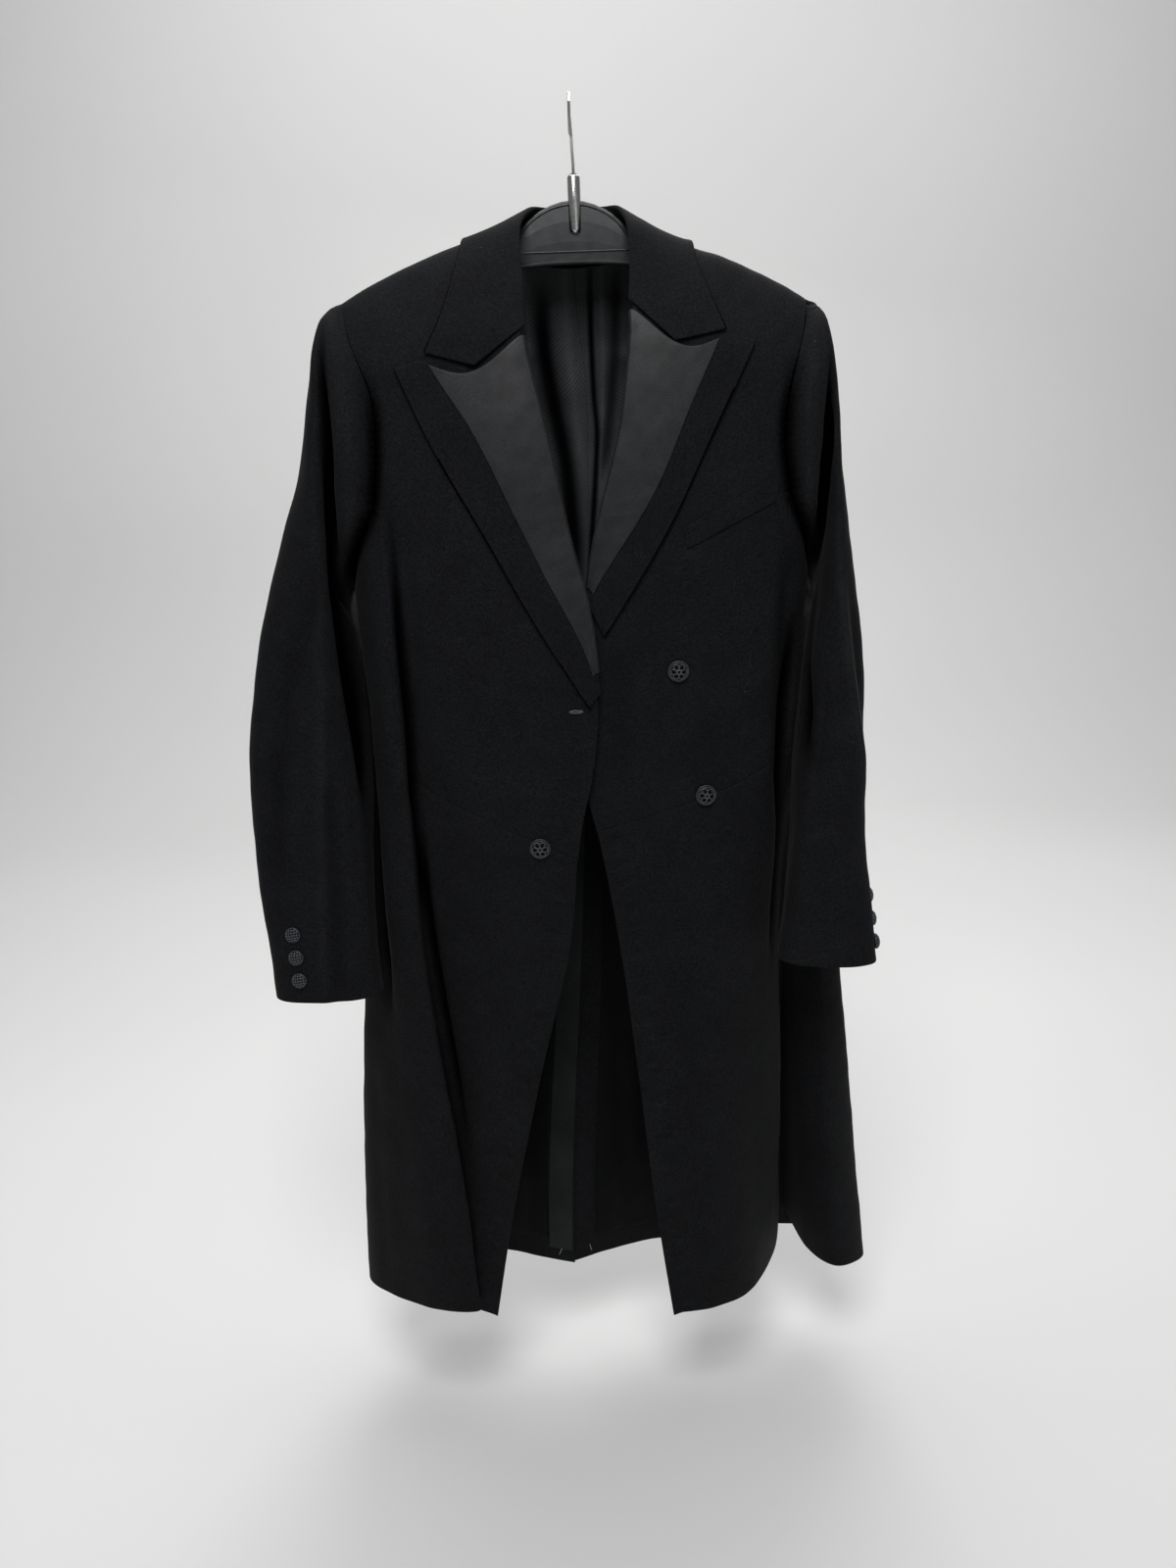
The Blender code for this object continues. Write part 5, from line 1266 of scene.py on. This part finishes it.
def cloth(name, finish, surface, u, v, wall, turn_sign, relief=None, creases=None, lift=0.0,
          edges=(TURNED, TURNED, TURNED, TURNED), ripple=None, curl=None, calm=0.0):
    """A fine sheet of cloth on a surface, with its creases, its rounded edges and its own flat map."""
    edges = np.array(edges) * MM
    rough = surface(*np.meshgrid(u, v))
    wide, long = float(runs(rough, 1)[:, -1].mean()), float(runs(rough, 0)[-1].mean())
    across, down = np.meshgrid(edged(u, wide, edges[:2]), edged(v, long, edges[2:]))
    face = surface(across, down)
    n = normals(surface, across, np.maximum(down, calm), turn_sign, v_span=(v[0], 9))
    over, along = runs(face, 1), runs(face, 0)
    # the depth kept beside the height is painted as shade in creases, puckers and curled rims, and as light
    # on ridges
    height, hollow = np.full(over.shape, lift), np.zeros(over.shape)
    if relief is not None:
        height = height + relief(face)
    if creases is not None:
        height = height + creases(face)
        hollow = creases(face, sharp=True)
    if ripple is not None:
        waves = rippled(ripple[0] * MM, ripple[1] * MM, over, along)
        height, hollow = height + waves, hollow + RIPPLE_SHADE * waves
    if curl is not None:
        rise, shade = curled(curl, over, along)
        height, hollow = height + rise, hollow - shade
    face = face + n * height[..., None]
    middle = face - n * wall / 2
    half = (n * wall / 2) * rounded_share(over, along, edges)[..., None]
    rows, columns = over.shape
    mesh, order = sheet_mesh(rows, columns)
    if turn_sign < 0:
        bmesh.ops.reverse_faces(mesh, faces=mesh.faces)
    places = np.empty((2 * rows * columns, 3))
    places[order] = np.concatenate([(middle + half).reshape(-1, 3), (middle - half).reshape(-1, 3)])
    flat_map = np.stack([over - over[:, columns // 2:columns // 2 + 1], along], axis=-1).reshape(-1, 2)
    flat = np.empty((2 * rows * columns, 2))
    flat[order] = np.concatenate([flat_map, flat_map])
    depths = np.empty(2 * rows * columns)
    depths[order] = np.tile(hollow.ravel() / MM, 2)
    data = finished(mesh, name)
    data.vertices.foreach_set("co", places.ravel())
    corners = np.empty(len(data.loops), dtype=np.int32)
    data.loops.foreach_get("vertex_index", corners)
    data.uv_layers.new(name="cloth").data.foreach_set("uv", flat[corners].ravel())
    data.attributes.new("hollow", "FLOAT", "POINT").data.foreach_set("value", depths.astype(np.float32))
    data.update()
    return placed(name, data, finish_of(finish))


def tailored(name, slot, surface, u, v, sign, wall=None, finish=None, **shape):
    """A sheet of cloth that takes the place of the frame's piece of this name."""
    piece = cloth(name + "_cloth", finish or slot, surface, u, v, wall or WALLS[slot], sign, **shape)
    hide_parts(name)


def tubes(name, paths, thick, closed=False):
    """Round cords along paths, made one mesh."""
    line = bpy.data.curves.new(name, "CURVE")
    line.dimensions = "3D"
    for path in paths:
        spline = line.splines.new("POLY")
        spline.points.add(len(path) - 1)
        spline.points.foreach_set("co", np.array([(*p, 1.0) for p in path]).ravel())
        spline.use_cyclic_u = closed
    line.bevel_depth = thick / 2
    line.bevel_resolution = 2
    line.use_fill_caps = not closed
    scratch = bpy.data.objects.new(name, line)
    bpy.context.scene.collection.objects.link(scratch)
    view = bpy.context.evaluated_depsgraph_get()
    data = bpy.data.meshes.new_from_object(scratch.evaluated_get(view))
    bpy.data.objects.remove(scratch, do_unlink=True)
    mesh = bmesh.new()
    mesh.from_mesh(data)
    bpy.data.meshes.remove(data)
    bmesh.ops.remove_doubles(mesh, verts=mesh.verts, dist=1e-7)
    bmesh.ops.recalc_face_normals(mesh, faces=mesh.faces)
    return finished(mesh, name)


def turned(outline):
    """A closed body turned from its outline, given as radius and height from its axis back to its axis."""
    mesh = bmesh.new()
    line = [mesh.verts.new((x, 0.0, z)) for x, z in outline]
    ties = [mesh.edges.new(pair) for pair in zip(line, line[1:])]
    bmesh.ops.spin(
        mesh, geom=line + ties, cent=(0, 0, 0), axis=(0, 0, 1), angle=math.tau, steps=40, use_merge=True
    )
    bmesh.ops.remove_doubles(mesh, verts=mesh.verts, dist=1e-6)
    return mesh


def dome_height(size, off):
    """The height of a button's dome this far from its middle, off being a share of its radius."""
    return size * 0.33 * np.sqrt(np.clip(1 - 0.95 * off**2, 0, 1))


RIM_RING = 0.93
LOOP_POINTS = 28
STRANDS = (-0.66, -0.34, 0.0, 0.34, 0.66)


def cord_loop(size, x, y, r, lift=0.0, wave=0):
    """A loop of cord on a button's dome, its middle and radius as shares of the button's radius."""
    turn = np.linspace(0, 2 * math.pi, LOOP_POINTS, endpoint=False)
    radius = size / 2
    px, py = x + r * np.cos(turn), y + r * np.sin(turn)
    rise = dome_height(size, np.hypot(px, py)) + lift + 0.02 * radius * np.cos(wave * turn)
    return np.stack([px * radius, py * radius, rise], axis=-1)


def network_loops(size):
    """Two rings, a small one in the middle and six loops round it."""
    loops = [cord_loop(size, 0, 0, 0.80, 0.0, 12), cord_loop(size, 0, 0, 0.17)]
    for k in range(6):
        a = k * math.pi / 3
        loops.append(cord_loop(size, 0.47 * math.cos(a), 0.47 * math.sin(a), 0.25, 0.01 * size, 3))
    return loops


def basket_strands(size):
    """Crossing strands that pass over and under one another."""
    strands = []
    share = np.linspace(-1, 1, 15)
    for k, shift in enumerate(STRANDS):
        reach = 0.88 * math.sqrt(1 - shift**2)
        for swapped in (False, True):
            px, py = share * reach, np.full(share.shape, shift)
            lift = 0.012 * size * np.cos(math.pi * (share * reach / 0.34 + k + swapped))
            rise = dome_height(size, np.hypot(px, py)) + lift
            across, up = (py, px) if swapped else (px, py)
            strands.append(np.stack([across * size / 2, up * size / 2, rise], axis=-1))
    return strands


def corded_button(name, centre, facing, size, kind):
    """A domed mould covered in thread, with cords worked over it."""
    radius = size / 2
    outline = [(0.0, 0.0), (0.88 * radius, 0.0), (0.97 * radius, 0.03 * size), (radius, 0.07 * size)]
    for off in (0.985, 0.93, 0.8, 0.6, 0.4, 0.2, 0.0):
        outline.append((off * radius, float(dome_height(size, off)) - 0.01 * size))
    mesh = turned(outline)
    rim = cord_loop(size, 0, 0, RIM_RING, -0.02 * size)
    if kind == "network":
        groups = ((True, [rim] + network_loops(size), 0.046 * size),)
    else:
        groups = ((True, [rim], 0.056 * size), (False, basket_strands(size), 0.056 * size))
    for closed, group, thick in groups:
        cords = tubes(name + " cords", group, thick, closed)
        before = len(mesh.faces)
        mesh.from_mesh(cords)
        mesh.faces.ensure_lookup_table()
        for face in mesh.faces[before:]:
            face.material_index = 1
        bpy.data.meshes.remove(cords)
    bmesh.ops.recalc_face_normals(mesh, faces=mesh.faces)
    turn = Vector((0, 0, 1)).rotation_difference(Vector(facing))
    seat = Matrix.Translation(Vector(centre)) @ turn.to_matrix().to_4x4()
    bmesh.ops.transform(mesh, matrix=seat, verts=mesh.verts)
    thing = placed(name + "_corded", finished(mesh, name + "_corded"), finish_of("mould"), finish_of("cord"))
    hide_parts(name)


def sewn_on(name, surface, u, v, turn_sign, lift, size, kind):
    """A button on a surface, standing this far off it and facing the way the cloth faces there."""
    facing = normals(surface, u, v, turn_sign)
    corded_button(name, surface(u, v) + facing * lift, facing, size, kind)


def collar_with_corners():
    """The collar's surface with its ends cut straight, from the gorge to a corner and on to the point."""
    rounded = collar_surface()
    stops = (0.40, 0.70, 1.0)

    def surface(c, s):
        c, s = np.broadcast_arrays(np.asarray(c, float), np.asarray(s, float))
        first, corner, last = [rounded(c, np.full(s.shape, stop)) for stop in stops]
        share = np.clip((s - stops[0]) / (stops[1] - stops[0]), 0, 2)[..., None]
        end = corner + (last - corner) * (share - 1)
        straight = np.where(share < 1, first + (corner - first) * share, end)
        near_end = 1 - smooth((np.minimum(c, 1 - c) - 0.01) / 0.07)
        return rounded(c, s) + (straight - rounded(c, s)) * (near_end * (s > stops[0]))[..., None]

    return surface


def silk_surface(side):
    """The silk on a lapel: as wide as its share of the lapel at each place down it."""
    facing = lapel_surface(side, 1.5 * SEAM + SILK)

    def surface(s, b):
        return facing(np.where(s < 0, s, s * lapel_row(side, b)[4]), b)

    return surface


def silk_wrinkles(points):
    """The small wrinkles of silk that is drawn over wool, more of them low on the lapel."""
    drop = -points[..., 2]
    ribs = np.sin(2 * math.pi * drop / 0.017) * np.sin(2 * math.pi * drop / 0.043 + points[..., 0] * 95)
    return 0.10 * MM * ribs * smooth((drop - 0.28) / 0.06) + 0.4 * UNEVEN_HEIGHT * uneven(points * 1.3)


def lining_folds(side, points, sharp=False):
    """The loose folds of the lining in the neck, always inside the wool; with sharp set, only their depths
    that are painted as shade and light.
    """
    folds = pressed(LINING_FOLDS, points[..., 0], -points[..., 2])
    if sharp:
        return 1.05 * folds
    depth = 0.6 * MM + 1.2 * (folds + 5.0 * MM)
    return body_relief(side, points) - depth - 0.3 * UNEVEN_HEIGHT * (1 + uneven(points))


def lining_waves(side, points):
    """The waves of the lining that hangs inside the skirts."""
    x, drop = points[..., 0], -points[..., 2]
    wave = np.sin(2 * math.pi * (x + 0.05 * drop) / 0.047) + 0.6 * np.sin(2 * math.pi * x / 0.029 + 1.0)
    return body_relief(side, points) - 1.1 * MM - 0.6 * MM * wave * smooth((drop - 0.66) / 0.1)


class COAT_OT_foreparts(bpy.types.Operator):
    """The two foreparts and the side bodies behind them"""

    bl_idname = "coat.foreparts"
    bl_label = "Foreparts and side bodies"

    def execute(self, context):
        for side, sign in SIDES.items():
            tailored(
                "forepart_" + side, "wool", forepart(side), spread((0, 1, 118)), spread((8e-6, 1, 150)),
                -sign, creases=partial(body_relief, side), edges=(TURNED, SEWN, SEWN, SEWN), ripple=(0.3, 11),
            )
            tailored(
                "side_body_" + side, "wool", side_panel(side), spread((0, 1, 50)), spread((0.002, 1, 60)),
                -sign, creases=partial(body_relief, side), edges=(SEWN, SEWN, SEWN, SEWN),
            )
        return {"FINISHED"}


class COAT_OT_backs(bpy.types.Operator):
    """The two backs, which run from the neck to the hem with a vent below the waist"""

    bl_idname = "coat.backs"
    bl_label = "Backs"

    def execute(self, context):
        for side, sign in SIDES.items():
            panel = back_panel(side, BACK_LAP if side == "left" else 0.0)
            tailored(
                "back_" + side, "wool", panel, spread((0, 1, 62)), spread((4e-6, 1, 190)), -sign,
                creases=partial(body_relief, side), edges=(SEWN, SEWN, SEWN, TURNED),
            )
        return {"FINISHED"}


class COAT_OT_skirts(bpy.types.Operator):
    """The skirts, from the front edge round to the pleats behind"""

    bl_idname = "coat.skirts"
    bl_label = "Skirts"

    def execute(self, context):
        for side, sign in SIDES.items():
            tailored(
                "skirt_" + side, "wool", skirt_panel(side), spread((0, 1, 200)), spread((0, 1, 110)), -sign,
                creases=partial(body_relief, side), edges=(TURNED, SEWN, SEWN, TURNED), ripple=(0.7, 17),
            )
        return {"FINISHED"}


class COAT_OT_sleeves(bpy.types.Operator):
    """The sleeves, each a top sleeve and an under sleeve"""

    bl_idname = "coat.sleeves"
    bl_label = "Sleeves"

    def execute(self, context):
        for side, sign in SIDES.items():
            for under, (part, columns) in enumerate((("top_sleeve_", 160), ("under_sleeve_", 90))):
                tailored(
                    part + side, "wool", settled_sleeve(side, under), spread((0, 1, columns)),
                    spread((0, 1, 120)), sign, creases=partial(sleeve_relief, side),
                    edges=(SEWN, SEWN, SEWN, TURNED), calm=CROWN_CALM,
                )
        return {"FINISHED"}


class COAT_OT_lapels(bpy.types.Operator):
    """The peaked lapels and their silk facings"""

    bl_idname = "coat.lapels"
    bl_label = "Lapels"

    def execute(self, context):
        for side, sign in SIDES.items():
            tailored(
                "lapel_" + side, "wool", lapel_surface(side), spread((-1, 0, 12), (0.02, 1, 46)),
                spread((0, 1, 130)), -sign, relief=canvassed, curl=LAPEL_CURL,
            )
            tailored(
                "silk_facing_" + side, "silk", silk_surface(side), spread((-0.5, 0, 8), (0.02, 1, 40)),
                spread((0.006, 0.94, 130)), -sign, relief=silk_wrinkles,
                edges=(CUT_EDGE, CUT_EDGE, CUT_EDGE, CUT_EDGE),
            )
        return {"FINISHED"}


class COAT_OT_collar(bpy.types.Operator):
    """The collar, round the neck from one notch to the other"""

    bl_idname = "coat.collar"
    bl_label = "Collar"

    def execute(self, context):
        tailored(
            "collar", "wool", collar_with_corners(), spread((0, 1, 170)),
            spread((0, 0.22, 8), (0.24, 0.40, 14), (0.43, 1, 26)), 1.0, wall=COLLAR_WALL, relief=canvassed,
            edges=(0.9, 0.9, 0.9, 0.9), curl=COLLAR_CURL,
        )
        return {"FINISHED"}


class COAT_OT_linings(bpy.types.Operator):
    """The linings that show in the neck and between the skirts, and the facing of the vent"""

    bl_idname = "coat.linings"
    bl_label = "Linings"

    def execute(self, context):
        for side, sign in SIDES.items():
            tailored(
                "back_lining_" + side, "lining", back_panel(side), spread((0.40, 1, 100)),
                spread((0.014, 0.40, 90)), -sign, creases=partial(lining_folds, side), lift=UNDER,
                edges=(CUT_EDGE, 0.2, CUT_EDGE, CUT_EDGE),
            )
            last = 0.80 if side == "left" else 0.70
            tailored(
                "skirt_lining_" + side, "lining", back_panel(side), spread((0.06, last, 60)),
                spread((0.50, 0.975, 90)), -sign, finish="painted shade lining", relief=partial(lining_waves, side),
                lift=UNDER, edges=(CUT_EDGE, CUT_EDGE, CUT_EDGE, CUT_EDGE),
            )
        strip = cloth(
            "vent_facing_right", "vent", back_panel("right"), spread((0.73, 0.985, 14)),
            spread((0.50, 0.985, 90)), LINING, 1.0, creases=partial(body_relief, "right"), lift=UNDER,
            edges=(CUT_EDGE, CUT_EDGE, CUT_EDGE, CUT_EDGE),
        )
        return {"FINISHED"}


class COAT_OT_pocket(bpy.types.Operator):
    """The slanting welt of the breast pocket"""

    bl_idname = "coat.pocket"
    bl_label = "Breast pocket"

    def execute(self, context):
        tailored(
            "breast_pocket_welt", "wool", welt, spread((0, 1, 60)), spread((0, 1, 16)), -1.0, wall=WELT_WALL,
            creases=partial(body_relief, "left"), lift=WELT_LIFT, edges=(0.6, 0.6, 0.6, 0.6),
        )
        return {"FINISHED"}


BACK_BUTTON_TURN = BACK_SEAM - 0.02
BACK_BUTTON_DROP = 0.548
# How many degrees past the hind seam the cuff buttons stand
CUFF_BUTTON_PAST = {"right": 9, "left": 4}


def place_at_drop(tube, turn, drop):
    """How far down a sleeve it reaches this drop below the hook."""
    low, high = 0.5, 1.0
    for _ in range(30):
        middle = (low + high) / 2
        if -float(tube(turn, middle)[2]) < drop:
            low = middle
        else:
            high = middle
    return np.array(low)


class COAT_OT_buttons(bpy.types.Operator):
    """The corded buttons of the front, the back and the cuffs"""

    bl_idname = "coat.buttons"
    bl_label = "Buttons"

    def execute(self, context):
        front, cuff = trim_values().front_button, trim_values().cuff_button
        for name, side, out, drop in BODY_BUTTONS:

            def flat(a, h, side=side):
                return body(side, front_turn(side, a, h), h)

            sewn_on(name, flat, np.array(out), np.array(drop), -SIDES[side], BUTTON_SEAT, front, "network")
        for side, sign in SIDES.items():
            turn, drop = np.array(BACK_BUTTON_TURN), np.array(BACK_BUTTON_DROP)
            seat = 2 * BUTTON_SEAT
            sewn_on("back_button_" + side, partial(body, side), turn, drop, -sign, seat, front, "network")
            tube = sleeve_tube(side)
            turn = np.array((HIND_SEAM[side][1] + CUFF_BUTTON_PAST[side]) / 360)
            for number, drop in enumerate(CUFF_DROPS[side], 1):
                name = "cuff_button_%s_%d" % (side, number)
                place = place_at_drop(tube, turn, drop)
                sewn_on(name, tube, turn, place, sign, BUTTON_SEAT, cuff, "basket")
        return {"FINISHED"}


# The buttonhole: out from the middle, drop, length and height
HOLE_OUT, HOLE_DROP, HOLE_LONG, HOLE_HIGH = 0.0124, 0.5275, 12.5 * MM, 3.6 * MM
# The tacks at the vent: side, how far round the back, how far each leans
TACKS = (("right", 0.86, 1.5 * MM), ("left", 0.86, -1.0 * MM))


def round_hole(reach, rise, angle):
    """Points this far out from the buttonhole and this far off the cloth, at angles round it."""
    out = HOLE_OUT + (HOLE_LONG / 2 + reach) * np.cos(angle)
    drop = HOLE_DROP + (HOLE_HIGH / 2 + reach) * np.sin(angle)
    return off_front("right", out, drop, np.full(np.shape(angle), rise))


class COAT_OT_stitching(bpy.types.Operator):
    """The worked buttonhole and the pale tacks at the foot of the vent"""

    bl_idname = "coat.stitching"
    bl_label = "Stitching"

    def execute(self, context):
        turn = np.linspace(0, 2 * math.pi, 40, endpoint=False)
        rim = tubes("buttonhole rim", [round_hole(-0.9 * MM, 0.5 * MM, turn)], 1.0 * MM, closed=True)
        legs = np.array([-1.2, -0.5, 0.5]) * MM
        angles = np.linspace(0, 2 * math.pi, 44, endpoint=False)
        stitches = [round_hole(legs, 0.55 * MM, np.full(3, angle)) for angle in angles]
        mesh = bmesh.new()
        for data in (rim, tubes("buttonhole stitches", stitches, 0.42 * MM)):
            mesh.from_mesh(data)
            bpy.data.meshes.remove(data)
        placed("buttonhole", finished(mesh, "buttonhole"), finish_of("cord"))
        # a bar of grey thread on the inside at each side of the vent, just over the hem
        bars = []
        for side, share, lean in TACKS:
            surface = back_panel(side)
            down = np.linspace(0.984, 0.991, 4)
            points = surface(np.full(4, share), down)
            n = normals(surface, np.full(4, share), down, -SIDES[side])
            points = points - n * (CLOTH + 2.6 * MM)
            points[:, 0] += np.linspace(lean, -lean, 4)
            bars.append(points)
        placed("vent_tacks", tubes("vent tacks", bars, 0.9 * MM), finish_of("thread"))
        return {"FINISHED"}


def refinished(name, finish):
    """Gives a piece of the frame the finish of the real one."""
    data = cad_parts[name].data
    data.materials.clear()
    data.materials.append(finish_of(finish))


class COAT_OT_hanger(bpy.types.Operator):
    """The moulded hanger and its wire hook"""

    bl_idname = "coat.hanger"
    bl_label = "Hanger"

    def execute(self, context):
        refinished("hanger", "plastic")
        refinished("hook", "wire")
        # a bead round the top of the plate and a band along its foot
        share = np.linspace(-1, 1, 61)
        front = -PLATE / 2 - 0.2 * MM
        arc = [(0.047 * t, front, -(PLATE_TOP + 0.0035 + 0.0205 * t * t + 0.006 * t**8)) for t in share]
        foot = [(0.049 * t, front - 0.3 * MM, -(PLATE_LOW - 0.0085)) for t in share]
        beads = placed("hanger_beads", tubes("hanger beads", [arc, foot], 1.1 * MM), finish_of("plastic"))
        # the plated sleeve of the hook: its outline as share of its radius and height
        radius = RIDGE / 2 + 0.15 * MM
        outline = (
            (0.0, 0.0), (0.5, 0.0), (0.85, 0.0011), (1, 0.0034), (1, 0.046), (0.9, 0.0475), (0.0, 0.0478)
        )
        mesh = turned([(share * radius, height) for share, height in outline])
        bmesh.ops.translate(mesh, verts=mesh.verts, vec=(0.002, 0.0, -RIDGE_LOW - 0.3 * MM))
        bmesh.ops.recalc_face_normals(mesh, faces=mesh.faces)
        placed("hook_sleeve", finished(mesh, "hook_sleeve"), finish_of("wire"))
        return {"FINISHED"}


# The backdrop: half its width, its front, its floor's drop, where it bends up, the bend's radius, its top
HALF_WIDE, FLOOR_FRONT, FLOOR_DROP, BEND_AT, BEND, WALL_TOP = 4.0, -4.5, 1.32, 2.2, 0.9, 4.0

# Lights: name, place, what they are aimed at, size
LIGHTS = (
    ("key light", (-0.15, -1.7, 1.35), (0.0, 0.0, -0.5), 1.0),
    ("fill light", (1.2, -2.6, -0.2), (0.0, 0.0, -0.7), 1.8),
    ("back light", (0.4, 1.9, 1.5), (0.0, 0.0, -0.6), 1.6),
    ("wall light", (0.0, 0.8, 1.9), (0.0, 2.8, -0.4), 2.6),
)
CAMERA_AT = (-0.0038, -1.131, -0.3267)


def backdrop(colour):
    """A floor of paper that curves up into a wall behind."""
    mesh = bmesh.new()
    bends = [step * math.pi / 16 for step in range(1, 9)]
    line = [(FLOOR_FRONT, -FLOOR_DROP), (BEND_AT, -FLOOR_DROP)]
    line += [(BEND_AT + BEND * math.sin(a), -FLOOR_DROP + BEND * (1 - math.cos(a))) for a in bends]
    line.append((BEND_AT + BEND, WALL_TOP))
    points = [mesh.verts.new((-HALF_WIDE, y, z)) for y, z in line]
    ties = [mesh.edges.new(pair) for pair in zip(points, points[1:])]
    made = bmesh.ops.extrude_edge_only(mesh, edges=ties)["geom"]
    far = [part for part in made if isinstance(part, bmesh.types.BMVert)]
    bmesh.ops.translate(mesh, verts=far, vec=(2 * HALF_WIDE, 0, 0))
    bmesh.ops.recalc_face_normals(mesh, faces=mesh.faces)
    floor = bpy.data.objects.new("backdrop", finished(mesh, "backdrop"))
    floor.data.materials.append(pale_paper(colour))
    bpy.context.scene.collection.objects.link(floor)


def camera_matrix(pitch, roll):
    """Where the camera stands and how it looks down and leans."""
    ahead = Vector((0, math.cos(pitch), -math.sin(pitch)))
    level, upright = Vector((1, 0, 0)), Vector((0, math.sin(pitch), math.cos(pitch)))
    right = level * math.cos(roll) - upright * math.sin(roll)
    up = level * math.sin(roll) + upright * math.cos(roll)
    turned_to = Matrix((right, up, -ahead)).transposed()
    return Matrix.Translation(CAMERA_AT) @ turned_to.to_4x4()


class COAT_OT_stage(bpy.types.Operator):
    """A pale floor that curves up behind, soft lights and the camera"""

    bl_idname = "coat.stage"
    bl_label = "Floor, lights and camera"

    def execute(self, context):
        scene = context.scene
        values = scene.coat_stage
        backdrop(values.floor_colour)
        scene.world = bpy.data.worlds.new("soft room")
        scene.world.use_nodes = True
        sky = scene.world.node_tree.nodes["Background"]
        sky.inputs["Color"].default_value = (*linear("F2F4F6"), 1.0)
        sky.inputs["Strength"].default_value = values.room_light
        for name, place, aim, size in LIGHTS:
            light = bpy.data.lights.new(name, "AREA")
            light.size = size
            light.energy = getattr(values, name.replace(" ", "_"))
            lamp = bpy.data.objects.new(name, light)
            lamp.location = place
            lamp.rotation_euler = (Vector(aim) - Vector(place)).to_track_quat("-Z", "Y").to_euler()
            scene.collection.objects.link(lamp)
        camera = bpy.data.objects.new("camera", bpy.data.cameras.new("camera"))
        camera.matrix_world = camera_matrix(values.pitch, values.roll)
        camera.data.lens = values.lens
        camera.data.sensor_width = 36.0
        scene.collection.objects.link(camera)
        scene.camera = camera
        scene.view_settings.view_transform = "Standard"
        return {"FINISHED"}


def colour_value(name, description, code):
    """A colour that a user may change, from its sRGB hex."""
    return bpy.props.FloatVectorProperty(
        name=name, description=description, subtype="COLOR", size=3, min=0.0, max=1.0, default=linear(code)
    )


def number_value(name, description, default, **kind):
    """A number that a user may change, with its unit or subtype."""
    return bpy.props.FloatProperty(name=name, description=description, default=default, **kind)


class CoatCloth(bpy.types.PropertyGroup):
    """Colours of the cloth and the depth of its creases"""

    wool_colour: colour_value("Wool", "Colour of the wool of the coat", "121315")
    silk_colour: colour_value("Silk", "Colour of the silk facings", "1C1D1F")
    # The lining twill's colour, lightened as painted light in the neck and darkened as painted shade inside
    # the skirts
    painted_light_lining_colour: colour_value("Lining", "Colour of the lining twill", "303234")
    painted_shade_lining_colour: colour_value("Skirt lining", "Colour of the lining between the skirts", "060708")
    vent_colour: colour_value("Vent facing", "Colour of the twill that faces the vent", "1D2221")
    crease_depth: number_value(
        "Crease depth", "How deep the creases are pressed", 1.7, subtype="FACTOR", min=0.0, max=3.0
    )


class CoatTrim(bpy.types.PropertyGroup):
    """Colours and sizes of buttons, thread and hanger"""

    # lighter than the black silk, as painted highlight on the cords' gloss
    cord_colour_with_painted_highlight: colour_value("Cord", "Colour of the cords on the buttons", "3E4146")
    mould_colour: colour_value("Mould", "Colour of the thread under the cords", "030304")
    thread_colour: colour_value("Tacks", "Colour of the tacking thread", "7C7F7C")
    plastic_colour: colour_value("Hanger", "Colour of the hanger's plastic", "1B1E20")
    wire_colour: colour_value("Hook", "Colour of the hook's plating", "C9C9C6")
    front_button: number_value("Front button", "Across a front or back button", FRONT_BUTTON, unit="LENGTH")
    cuff_button: number_value("Cuff button", "Across a cuff button", CUFF_BUTTON, unit="LENGTH")


class CoatStage(bpy.types.PropertyGroup):
    """Floor, lights and camera"""

    floor_colour: colour_value("Floor", "Colour of the floor and backdrop", "E9E9E8")
    room_light: number_value("Room light", "Strength of the light all round", 0.20)
    key_light: number_value("Key light", "Main light, from the front", 44.0, unit="POWER")
    fill_light: number_value("Fill light", "Light from the front right", 4.0, unit="POWER")
    wall_light: number_value("Wall light", "Light on the backdrop", 46.0, unit="POWER")
    back_light: number_value("Back light", "Light on the back of the coat", 22.0, unit="POWER")
    lens: number_value("Lens", "Focal length of the camera in mm", 27.05)
    pitch: number_value("Pitch", "How far the camera looks down", math.radians(14.2), unit="ROTATION")
    roll: number_value("Roll", "How far the camera leans", math.radians(2.0), unit="ROTATION")


PIECES = (
    COAT_OT_foreparts, COAT_OT_backs, COAT_OT_skirts, COAT_OT_sleeves, COAT_OT_lapels, COAT_OT_collar,
    COAT_OT_linings, COAT_OT_pocket, COAT_OT_buttons, COAT_OT_stitching, COAT_OT_hanger, COAT_OT_stage,
)
GROUPS = {"coat_cloth": CoatCloth, "coat_trim": CoatTrim, "coat_stage": CoatStage}


class COAT_PT_sidebar(bpy.types.Panel):
    """Builds the coat piece by piece"""

    bl_idname = "COAT_PT_sidebar"
    bl_label = "Evening coat"
    bl_space_type = "VIEW_3D"
    bl_region_type = "UI"
    bl_category = "Coat"

    def draw(self, context):
        for name, group in GROUPS.items():
            box = self.layout.box()
            for key in group.__annotations__:
                box.prop(getattr(context.scene, name), key)
        for piece in PIECES:
            self.layout.operator(piece.bl_idname)


def register():
    for kind in (*GROUPS.values(), *PIECES, COAT_PT_sidebar):
        bpy.utils.register_class(kind)
    for name, group in GROUPS.items():
        setattr(bpy.types.Scene, name, bpy.props.PointerProperty(type=group))


def unregister():
    for name in GROUPS:
        delattr(bpy.types.Scene, name)
    for kind in reversed((*GROUPS.values(), *PIECES, COAT_PT_sidebar)):
        bpy.utils.unregister_class(kind)


def main():
    register()
    for piece in PIECES:
        getattr(bpy.ops.coat, piece.bl_idname.split(".")[1])()


if __name__ == "__main__":
    main()
